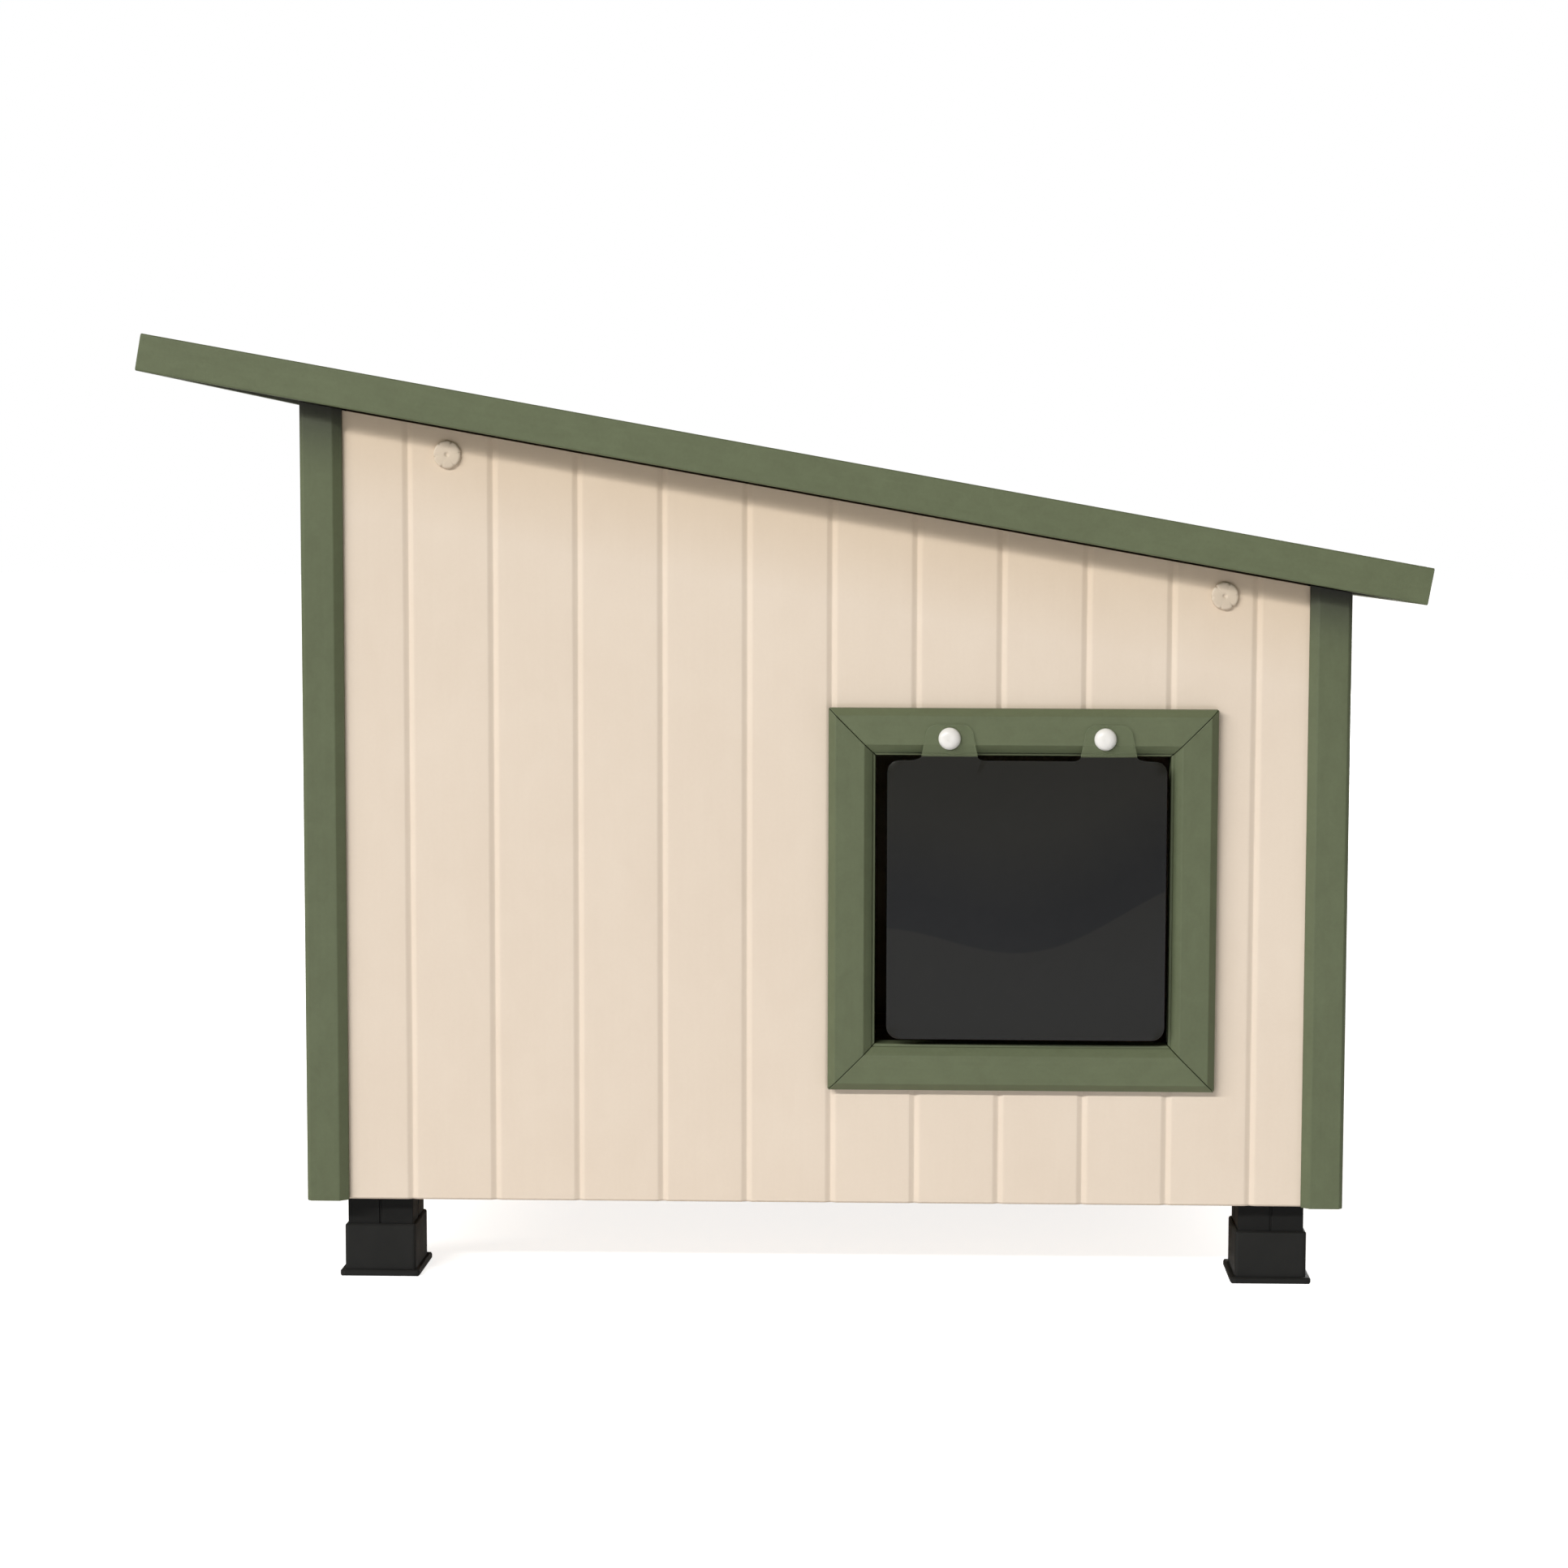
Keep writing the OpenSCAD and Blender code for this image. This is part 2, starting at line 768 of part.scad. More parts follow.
// One shoe: a square socket on a flange with round corners
module shoe(low, back) {
    out = leg_inset - slide_fit - shoe_wall;
    pocket = leg_w + 2 * slide_fit;
    flange_w = shoe_w + 2 * flange_out;
    color("#232325")
        at_corner(low, back)
            translate([out, out, 0])
                difference() {
                    union() {
                        soft_block(shoe_w, shoe_h, shoe_corner, shoe_edge);
                        translate([-flange_out, -flange_out, 0])
                            soft_block(flange_w, flange_h, flange_corner, flange_edge,
                                flange_edge);
                    }
                    translate([shoe_wall, shoe_wall, shoe_floor])
                        cube([pocket, pocket, shoe_h]);
                }
}

module front_high_shoe() { shoe(false, false); }
module front_low_shoe() { shoe(true, false); }
module back_high_shoe() { shoe(false, true); }
module back_low_shoe() { shoe(true, true); }

// Doorway moulding

// Section of the moulding: x from its outer edge towards the doorway, y out of the wall
module trim_section() {
    bevel_foot = trim_w - trim_lip;
    lip_level = trim_proud - trim_bevel_fall - trim_lip_drop;
    polygon([
        [0, 0], [0, trim_proud - trim_outer_edge], [trim_outer_edge, trim_proud],
        [bevel_foot - trim_inner_bevel, trim_proud],
        [bevel_foot, trim_proud - trim_bevel_fall],
        [bevel_foot, lip_level], [trim_w, lip_level],
        [trim_w, -panel_t], [trim_w - tongue_t, -panel_t], [trim_w - tongue_t, 0]
    ]);
}

// One mitred length, drawn along X as the top member, its inner edge at z = 0
module trim_bar(clear) {
    full = clear + 2 * trim_w;
    gap = mitre_gap / sqrt(2);
    intersection() {
        translate([full / 2, 0, trim_w])
            rotate([0, 90, 180])
                linear_extrude(full)
                    trim_section();
        translate([0, far, 0])
            rotate([90, 0, 0])
                linear_extrude(2 * far)
                    polygon([
                        [-clear / 2 + gap, -sliver], [clear / 2 - gap, -sliver],
                        [full / 2 - gap, trim_w + sliver],
                        [-full / 2 + gap, trim_w + sliver]
                    ]);
    }
}

module door_head_trim() {
    color("#6c7558")
        difference() {
            translate([door_cx, board_y, door_top]) trim_bar(door_w);
            at_flap_pins()
                cylinder(h = far, r = pin_d / 2 + run_fit, center = true);
        }
}

module door_sill_trim() {
    color("#6c7558")
        translate([door_cx, board_y, door_bottom])
            rotate([0, 180, 0]) trim_bar(door_w);
}

module door_high_trim() {
    color("#6c7558")
        translate([door_cx - door_w / 2, board_y, door_bottom + door_h / 2])
            rotate([0, -90, 0]) trim_bar(door_h);
}

module door_low_trim() {
    color("#6c7558")
        translate([door_cx + door_w / 2, board_y, door_bottom + door_h / 2])
            rotate([0, 90, 0]) trim_bar(door_h);
}

// Flap, its tabs and its push pins

// Places children at each push pin, z pointing out of the front
module at_flap_pins() {
    for (side = [-1, 1])
        translate([flap_cx + side * tab_spacing / 2, trim_face_y - flap_t, pin_z])
            rotate([90, 0, 0]) children();
}

// Extrudes an X-Z outline through the sheet's thickness
module sheet() {
    translate([flap_cx, flap_y + flap_t / 2, 0])
        rotate([90, 0, 0])
            linear_extrude(flap_t)
                children();
}

module flap_tabs() {
    low = flap_axis_z + flap_t / 2 + bend_gap;
    top = door_top + tab_h;
    color("#7d8a78")
        difference() {
            for (side = [-1, 1])
                sheet()
                    translate([side * tab_spacing / 2, 0])
                        polygon(concat(
                            [[-tab_w / 2, low], [tab_w / 2, low]],
                            arc(tab_top_w / 2 - tab_corner, top - tab_corner, tab_corner,
                                0, 90),
                            arc(tab_corner - tab_top_w / 2, top - tab_corner, tab_corner,
                                90, 180)
                        ));
            at_flap_pins()
                cylinder(h = far, r = pin_d / 2 + run_fit, center = true);
        }
}

module flap_panel() {
    top = flap_bottom + flap_h;
    r = flap_corner;
    half = flap_w / 2;
    color("#3a3b3a") {
        sheet()
            union() {
                polygon(concat(
                    arc(r - half, flap_bottom + r, r, 180, 270),
                    arc(half - r, flap_bottom + r, r, 270, 360),
                    arc(half - r, top - r, r, 0, 90),
                    arc(r - half, top - r, r, 90, 180)
                ));
                for (side = [-1, 1])
                    translate([side * tab_spacing / 2 - tab_w / 2, top - flap_corner])
                        square([tab_w, flap_axis_z - top + flap_corner]);
            }
        for (side = [-1, 1])
            translate([flap_cx + side * tab_spacing / 2, flap_y, flap_axis_z])
                axis_bar(tab_w, flap_t / 2);
    }
}

// Push pins: a domed head outside and a shank through the tab, the moulding and the board
module flap_pins() {
    shank = flap_t + trim_proud + panel_t + cap_h / 2;
    r = pin_head_d / 2;
    color("#f0eeea")
        at_flap_pins()
            rotate_extrude()
                polygon(concat(
                    [[0, -shank], [pin_d / 2, -shank], [pin_d / 2, 0], [r, 0]],
                    [for (i = [0:6])
                        [r * cos(15 * i), pin_rim + (pin_head_h - pin_rim) * sin(15 * i)]]
                ));
}

module flap_pin_caps() {
    depth = flap_t + trim_proud + panel_t;
    color("#f0eeea")
        at_flap_pins()
            translate([0, 0, -depth - cap_h])
                difference() {
                    cylinder(h = cap_h, r = cap_d / 2);
                    translate([0, 0, cap_h / 2 - run_fit])
                        cylinder(h = cap_h, r = pin_d / 2 + run_fit);
                }
}

// Notched bolts that hold the top rails

// Places children at the front wall's bolts, z pointing out of the front
module at_rail_bolts() {
    on_slope()
        for (x = [bolt_from_high, slope_w - bolt_from_low])
            translate([x, board_y, -bolt_drop])
                rotate([90, 0, 0]) children();
}

// Disc with a round rim on its upper side and worn notches in its edge
module notched_disc(h) {
    r = bolt_head_d / 2;
    difference() {
        rotate_extrude()
            polygon(concat(
                [[0, 0], [r, 0]],
                [for (i = [0:4])
                    [r - bolt_rim * (1 - cos(22.5 * i)), h - bolt_rim * (1 - sin(22.5 * i))]],
                [[0, h]]
            ));
        for (i = [0:notch_count - 1])
            rotate([0, 0, i * 360 / notch_count])
                translate([bolt_head_d / 2 - notch_depth + notch_d / 2, 0, -over])
                    cylinder(h = h + 2 * over, r = notch_d / 2, $fn = 24);
    }
}

module bolt() {
    difference() {
        union() {
            notched_disc(bolt_head_h);
            translate([0, 0, -panel_t - rail_t - nut_h])
                cylinder(h = panel_t + rail_t + nut_h + over, r = bolt_d / 2);
        }
        translate([0, 0, bolt_head_h - dimple_depth])
            cylinder(h = dimple_depth + over, r = dimple_d / 2);
    }
}

module rail_bolts() {
    color("#e8d9c4") {
        at_rail_bolts() bolt();
        mirror([0, 1, 0]) at_rail_bolts() bolt();
    }
}

module nut() {
    translate([0, 0, -panel_t - rail_t])
        mirror([0, 0, 1])
            difference() {
                notched_disc(nut_h);
                translate([0, 0, -over])
                    cylinder(h = nut_h + 2 * over, r = bolt_d / 2 + run_fit);
            }
}

module rail_nuts() {
    color("#e8d9c4") {
        at_rail_bolts() nut();
        mirror([0, 1, 0]) at_rail_bolts() nut();
    }
}

// Roof hinges: x along the hinge axis, y out of the back, z square to the roof

module at_hinge(x) {
    on_slope()
        translate([x, hinge_y, -hinge_drop])
            children();
}

module at_hinge_base_screws() {
    for (x = hinge_spots, side = [-1, 1])
        at_hinge(x)
            translate([side * base_screw_step / 2, hinge_in, -base_screw_drop])
                rotate([-90, 0, 0]) children();
}

module at_hinge_leaf_screws() {
    for (x = hinge_spots, side = [-1, 0, 1])
        at_hinge(x)
            translate([side * leaf_screw_step, leaf_screw_y, leaf_low])
                rotate([180, 0, 0]) children();
}

// Round bar along the hinge axis, centred
module axis_bar(length, r) {
    rotate([0, 90, 0])
        cylinder(h = length, r = r, center = true);
}

// Fixed part of a hinge: a block on the back wall with a knuckle at each end
module hinge_base(x) {
    color("#8f8f8a")
        difference() {
            at_hinge(x)
                difference() {
                    union() {
                        translate([-hinge_l / 2, hinge_in - post_proud, -base_h])
                            cube([hinge_l, post_proud, base_h]);
                        axis_bar(hinge_l, knuckle_r);
                    }
                    axis_bar(knuckle_mid + 2 * knuckle_gap, swing_r);
                    axis_bar(2 * hinge_l, hinge_pin_d / 2 + run_fit);
                }
            at_hinge_base_screws() screw(base_screw_l, run_fit);
        }
}

module high_hinge_base() { hinge_base(hinge_spots[0]); }
module low_hinge_base() { hinge_base(hinge_spots[1]); }

// Moving part of a hinge: a plate under the roof's back edge with the middle knuckle
module hinge_leaf(x) {
    color("#8f8f8a")
        difference() {
            at_hinge(x)
                difference() {
                    union() {
                        translate([-hinge_l / 2, leaf_start, leaf_low])
                            cube([hinge_l, leaf_out - leaf_start, leaf_t]);
                        translate([-knuckle_mid / 2, 0, 0])
                            cube([knuckle_mid, leaf_start, hinge_drop]);
                        axis_bar(knuckle_mid, knuckle_r);
                    }
                    axis_bar(2 * hinge_l, hinge_pin_d / 2 + run_fit);
                }
            at_hinge_leaf_screws() screw(leaf_screw_l, run_fit);
        }
}

module high_hinge_leaf() { hinge_leaf(hinge_spots[0]); }
module low_hinge_leaf() { hinge_leaf(hinge_spots[1]); }

module hinge_pins() {
    color("#b5b5b0")
        for (x = hinge_spots)
            at_hinge(x) {
                axis_bar(hinge_l + 2 * hinge_pin_head_t, hinge_pin_d / 2);
                for (side = [-1, 1])
                    translate([side * (hinge_l + hinge_pin_head_t) / 2, 0, 0])
                        axis_bar(hinge_pin_head_t, hinge_pin_head_d / 2);
            }
}

module hinge_base_screws() {
    color("#b5b5b0") at_hinge_base_screws() screw(base_screw_l);
}

module hinge_leaf_screws() {
    color("#b5b5b0") at_hinge_leaf_screws() screw(leaf_screw_l);
}

// Roof, drawn in its own frame

// A board that fills the space inside the edge boards, from one height to another
module inner_board(bottom, thickness) {
    on_slope()
        translate([roof_start + fascia_t, -core_d / 2, bottom])
            cube([core_l, core_d, thickness]);
}

module roof_liner() {
    color("#6c7558") inner_board(0, liner_t);
}

module roof_rafters() {
    step = (core_d - rafter_w) / (rafter_count - 1);
    color("#d9c6a8")
        on_slope()
            for (i = [0:rafter_count - 1])
                translate([
                    roof_start + fascia_t, -core_d / 2 + i * step, liner_t
                ])
                    cube([core_l, rafter_w, core_t]);
}

module roof_top_board() {
    color("#d9c6a8") inner_board(liner_t + core_t, top_board_t);
}

module roof_felt() {
    color("#4f5a45") inner_board(roof_t - felt_t, felt_t);
}

// Section of an edge board, its long edges chamfered
module fascia_section() {
    e = fascia_edge;
    polygon([
        [e, 0], [fascia_t, 0], [fascia_t, roof_t], [e, roof_t], [0, roof_t - e], [0, e]
    ]);
}

module front_fascia() {
    color("#6c7558")
        on_slope()
            translate([roof_start, -roof_d / 2, 0])
                along_x(roof_l) fascia_section();
}

module back_fascia() {
    color("#6c7558")
        difference() {
            mirror([0, 1, 0])
                on_slope()
                    translate([roof_start, -roof_d / 2, 0])
                        along_x(roof_l) fascia_section();
            at_hinge_leaf_screws() screw(leaf_screw_l, run_fit);
        }
}

module high_fascia() {
    color("#6c7558")
        on_slope()
            translate([roof_start, -core_d / 2, 0])
                along_y(core_d) fascia_section();
}

module low_fascia() {
    color("#6c7558")
        on_slope()
            translate([roof_start + roof_l, -core_d / 2, 0])
                mirror([1, 0, 0])
                    along_y(core_d) fascia_section();
}

front_panel();
back_panel();
high_side_panel();
low_side_panel();
front_high_post();
front_low_post();
back_high_post();
back_low_post();
front_top_rail();
back_top_rail();
high_top_rail();
low_top_rail();
corner_brackets();
front_bearer();
back_bearer();
high_bearer();
low_bearer();
floor_board();
front_high_leg();
front_low_leg();
back_high_leg();
back_low_leg();
front_high_shoe();
front_low_shoe();
back_high_shoe();
back_low_shoe();
door_head_trim();
door_sill_trim();
door_high_trim();
door_low_trim();
flap_tabs();
flap_pins();
flap_pin_caps();
flap_panel();
rail_bolts();
rail_nuts();
floor_screws();
bearer_screws();
rail_screws();
bracket_screws();
high_hinge_base();
low_hinge_base();
hinge_pins();
hinge_base_screws();
roof_liner();
roof_rafters();
roof_top_board();
roof_felt();
front_fascia();
back_fascia();
high_fascia();
low_fascia();
high_hinge_leaf();
low_hinge_leaf();
hinge_leaf_screws();
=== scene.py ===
"""Looks of an outdoor cat house, dressed round its packed construction model.

The grooved wall boards, corner posts, doorway moulding, clear flap, shod legs, roof, inner
frame, hinges and fasteners each have a class. Sizes in these classes are millimetres, and
places come from the construction model.
"""

from __future__ import annotations

import json
import logging
import math
from collections.abc import Callable, Sequence
from dataclasses import dataclass
from enum import Enum

import bmesh
import bpy
import numpy as np
from mathutils import Matrix, Vector

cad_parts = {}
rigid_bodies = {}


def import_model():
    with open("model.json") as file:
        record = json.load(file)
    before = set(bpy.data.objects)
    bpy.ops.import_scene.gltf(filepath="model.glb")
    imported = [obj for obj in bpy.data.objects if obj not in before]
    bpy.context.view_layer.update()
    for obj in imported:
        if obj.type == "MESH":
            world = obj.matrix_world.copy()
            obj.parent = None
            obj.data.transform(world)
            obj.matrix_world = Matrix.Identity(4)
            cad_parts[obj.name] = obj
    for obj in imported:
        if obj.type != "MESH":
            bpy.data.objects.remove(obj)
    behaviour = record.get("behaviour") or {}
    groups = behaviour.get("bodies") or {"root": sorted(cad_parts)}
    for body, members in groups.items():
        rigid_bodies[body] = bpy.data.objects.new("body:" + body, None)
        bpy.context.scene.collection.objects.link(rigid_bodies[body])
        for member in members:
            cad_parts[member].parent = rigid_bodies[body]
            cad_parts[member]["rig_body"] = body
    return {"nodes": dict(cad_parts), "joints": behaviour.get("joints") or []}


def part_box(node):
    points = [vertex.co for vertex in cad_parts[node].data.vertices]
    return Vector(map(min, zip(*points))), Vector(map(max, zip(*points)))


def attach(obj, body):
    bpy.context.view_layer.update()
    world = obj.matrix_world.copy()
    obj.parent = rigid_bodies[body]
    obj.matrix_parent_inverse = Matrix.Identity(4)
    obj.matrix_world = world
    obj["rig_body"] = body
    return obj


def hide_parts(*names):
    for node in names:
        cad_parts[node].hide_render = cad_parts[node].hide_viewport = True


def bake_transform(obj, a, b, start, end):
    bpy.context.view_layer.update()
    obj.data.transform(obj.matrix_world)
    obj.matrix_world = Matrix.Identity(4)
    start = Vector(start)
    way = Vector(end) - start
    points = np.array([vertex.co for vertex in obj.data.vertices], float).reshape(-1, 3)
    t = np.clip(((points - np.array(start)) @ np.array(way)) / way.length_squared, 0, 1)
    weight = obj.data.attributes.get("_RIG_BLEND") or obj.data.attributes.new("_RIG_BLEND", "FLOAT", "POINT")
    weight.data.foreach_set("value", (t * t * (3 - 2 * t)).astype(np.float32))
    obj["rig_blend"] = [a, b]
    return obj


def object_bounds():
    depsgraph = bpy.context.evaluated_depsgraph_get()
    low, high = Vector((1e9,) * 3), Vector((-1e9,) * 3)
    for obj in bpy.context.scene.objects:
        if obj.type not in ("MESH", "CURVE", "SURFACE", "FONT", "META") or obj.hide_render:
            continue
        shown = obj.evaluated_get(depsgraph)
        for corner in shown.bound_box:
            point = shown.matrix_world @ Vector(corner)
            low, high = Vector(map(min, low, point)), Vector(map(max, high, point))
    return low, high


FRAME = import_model()
CAD_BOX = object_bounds()

LOG = logging.getLogger("cat_house")
MM = 0.001
JOIN_DISTANCE = 0.001 * MM
FLAT_ANGLE = math.radians(0.5)
EDGE_ANGLE = math.radians(25)
TURNED_EDGE_ANGLE = math.radians(40)
SHEET_EDGE_ANGLE = math.radians(60)
END_SHARE = 0.2
DOOR_ROW = 2
CORNERS = ("front_high", "front_low", "back_high", "back_low")

Colour = tuple[float, float, float]
Span = tuple[float, float]
Outline = tuple[tuple[float, float], ...]
Box = tuple[Vector, Vector]
Shape = bmesh.types.BMesh
Vert = bmesh.types.BMVert
Socket = bpy.types.NodeSocket
Piece = bpy.types.Object


def joint_named(name: str) -> dict[str, object]:
    """The construction model's joint of a name."""
    return next(joint for joint in FRAME["joints"] if joint["name"] == name)


@dataclass(frozen=True)
class Slope:
    """The roof's own directions: along it towards the low side, and square to it."""

    along: Vector
    up: Vector

    @property
    def fall(self) -> float:
        """How far the slope falls for each unit of X."""
        return -self.along.z / self.along.x

    @property
    def pitch(self) -> float:
        """The slope's angle to the ground, in radians."""
        return math.atan(self.fall)

    def point(self, run: float, y: float, rise: float, origin: Vector) -> Vector:
        """The point at a run down the slope, a Y and a rise square to it, in metres."""
        return origin + self.along * run + self.up * rise + Vector((0, y, 0))


def read_slope() -> Slope:
    """Reads the roof's slope from the joint that it lifts on."""
    along = -Vector(joint_named("roof_lift")["axis"])
    return Slope(along, along.cross(Vector((0, 1, 0))))


def read_underside(slope: Slope) -> float:
    """How far the roof's underside lies from the origin, square to the slope, in metres."""
    low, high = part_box("front_high_post")
    return Vector((low.x, 0, high.z)).dot(slope.up)


ROOF_SLOPE = read_slope()
ROOF_UNDERSIDE = read_underside(ROOF_SLOPE)


class Body(Enum):
    """The bodies that pieces ride on."""

    CABIN = "cabin"
    ROOF = "roof"
    FLAP = "flap"


class Grain(Enum):
    """The way a finish runs, as the turn that brings its long axis from Z to that way."""

    UP = (0.0, 0.0, 0.0)
    ALONG = (0.0, math.radians(90), 0.0)
    DEEP = (math.radians(90), 0.0, 0.0)
    SLOPE = (0.0, math.radians(90) + ROOF_SLOPE.pitch, 0.0)


class Tree:
    """A node tree, with short calls that add nodes and join them."""

    def __init__(self, tree: bpy.types.NodeTree) -> None:
        """Takes a tree and empties it."""
        self.tree = tree
        tree.nodes.clear()

    def add(
        self, kind: str, inputs: dict[str, object] | None = None, **settings: object
    ) -> bpy.types.Node:
        """Adds a node and fills its inputs.

        Args:
            kind: the node's type name.
            inputs: values or outputs for its named inputs.
            **settings: properties to set on it.

        Returns:
            The new node.
        """
        node = self.tree.nodes.new(kind)
        for key, value in settings.items():
            setattr(node, key, value)
        for key, value in (inputs or {}).items():
            self.fill(node.inputs[key], value)
        return node

    def fill(self, socket: Socket, value: object) -> None:
        """Links an output to a socket, or sets the socket to a value.

        Args:
            socket: the input that is filled.
            value: an output or a plain value.
        """
        if isinstance(value, bpy.types.NodeSocket):
            self.tree.links.new(value, socket)
        else:
            socket.default_value = value

    def math(self, operation: str, *values: object) -> Socket:
        """One step of arithmetic.

        Args:
            operation: the Math node's operation.
            *values: outputs or numbers, in the node's order.

        Returns:
            The result.
        """
        node = self.add("ShaderNodeMath", operation=operation)
        for socket, value in zip(node.inputs, values):
            self.fill(socket, value)
        return node.outputs[0]


class Graph(Tree):
    """The shading tree of one material."""

    def __init__(self, name: str) -> None:
        """Starts the tree with a Principled shader.

        Args:
            name: the material's name.
        """
        self.material = bpy.data.materials.new(name)
        self.material.use_nodes = True
        super().__init__(self.material.node_tree)
        self.shader = self.add("ShaderNodeBsdfPrincipled")
        self.add("ShaderNodeOutputMaterial", {"Surface": self.shader.outputs["BSDF"]})

    def set(self, **values: object) -> None:
        """Fills the shader's own sockets, named with underscores for spaces."""
        for key, value in values.items():
            self.fill(self.shader.inputs[key.replace("_", " ")], value)

    def place(self, grain: Grain = Grain.UP, stretch: float = 1.0) -> Socket:
        """Object coordinates, turned to the grain and stretched along it.

        Args:
            grain: the way the pattern runs.
            stretch: how many times longer the pattern is along the grain.

        Returns:
            The vector output.
        """
        mapping = self.add(
            "ShaderNodeMapping",
            {
                "Vector": self.add("ShaderNodeTexCoord").outputs["Object"],
                "Rotation": grain.value,
                "Scale": (1.0, 1.0, stretch),
            },
            vector_type="TEXTURE",
        )
        return mapping.outputs["Vector"]

    def noise(
        self,
        size: float,
        detail: float = 3.0,
        grain: Grain = Grain.UP,
        stretch: float = 1.0,
        distortion: float = 0.0,
    ) -> Socket:
        """Noise from 0 to 1.

        Args:
            size: width of one blotch in millimetres.
            detail: octaves of finer noise.
            grain: the way the noise runs.
            stretch: how many times longer it is along the grain.
            distortion: how strongly it is warped.

        Returns:
            The factor output.
        """
        node = self.add(
            "ShaderNodeTexNoise",
            {
                "Vector": self.place(grain, stretch),
                "Scale": 1 / (size * MM),
                "Detail": detail,
                "Distortion": distortion,
            },
        )
        return node.outputs[0]

    def spread(
        self, value: Socket, low: float, high: float, start: float = 0.3, end: float = 0.7
    ) -> Socket:
        """Maps a value's range onto another one, clamped.

        Args:
            value: the output that is mapped.
            low: what start becomes.
            high: what end becomes.
            start: where the value's range starts.
            end: where it ends.

        Returns:
            The mapped output.
        """
        node = self.add(
            "ShaderNodeMapRange",
            {"Value": value, "From Min": start, "From Max": end, "To Min": low, "To Max": high},
            clamp=True,
        )
        return node.outputs["Result"]

    def tones(
        self, factor: Socket, first: Colour | Socket, second: Colour | Socket, blend: str = "MIX"
    ) -> Socket:
        """Mixes two colours by a factor.

        Args:
            factor: the mix, 0 for the first colour and 1 for the second.
            first: a colour, or the output that gives it.
            second: a colour, or the output that gives it.
            blend: how the second goes onto the first.

        Returns:
            The colour output.
        """
        node = self.add("ShaderNodeMix", data_type="RGBA", blend_type=blend)
        for number, value in ((0, factor), (6, first), (7, second)):
            self.fill(node.inputs[number], (*value, 1.0) if isinstance(value, tuple) else value)
        return node.outputs[2]

    def relief(self, height: Socket, depth: float, strength: float = 1.0) -> None:
        """Adds a bump to the shader.

        Args:
            height: a value from 0 to 1.
            depth: the bump's depth in millimetres.
            strength: how strongly it shows.
        """
        bump = self.add(
            "ShaderNodeBump", {"Height": height, "Distance": depth * MM, "Strength": strength}
        )
        self.set(Normal=bump.outputs["Normal"])

    def painted_eave_shade(self, reach: float, fall: float) -> Socket:
        """How near a point lies below the closed roof, which sets how strongly it takes the painted shade of
        the overhang.

        Args:
            reach: how far below the roof it ends, in millimetres.
            fall: how quickly it fades, as a power.

        Returns:
            The share, 1 against the roof's underside and 0 at the reach.
        """
        height = self.add(
            "ShaderNodeVectorMath", {"Vector": self.place()}, operation="DOT_PRODUCT"
        )
        self.fill(height.inputs[1], ROOF_SLOPE.up)
        start = ROOF_UNDERSIDE - reach * MM
        share = self.spread(height.outputs["Value"], 0.0, 1.0, start, ROOF_UNDERSIDE)
        return self.math("POWER", share, fall)


def scaled(colour: Colour, factor: float) -> Colour:
    """A colour made darker or lighter by a factor."""
    return (colour[0] * factor, colour[1] * factor, colour[2] * factor)


@dataclass(frozen=True)
class Finish:
    """What every finish has: its own name and the record's slot that it stands for."""

    name: str
    slot: str

    def material(self) -> bpy.types.Material:
        """The finish's material, made the first time that it is asked for.

        Returns:
            The material.
        """
        ready = bpy.data.materials.get(self.name)
        if ready:
            return ready
        graph = Graph(self.name)
        self.fill(graph)
        return graph.material

    def fill(self, graph: Graph) -> None:
        """Fills the shading tree; each kind of finish has its own way."""
        raise NotImplementedError


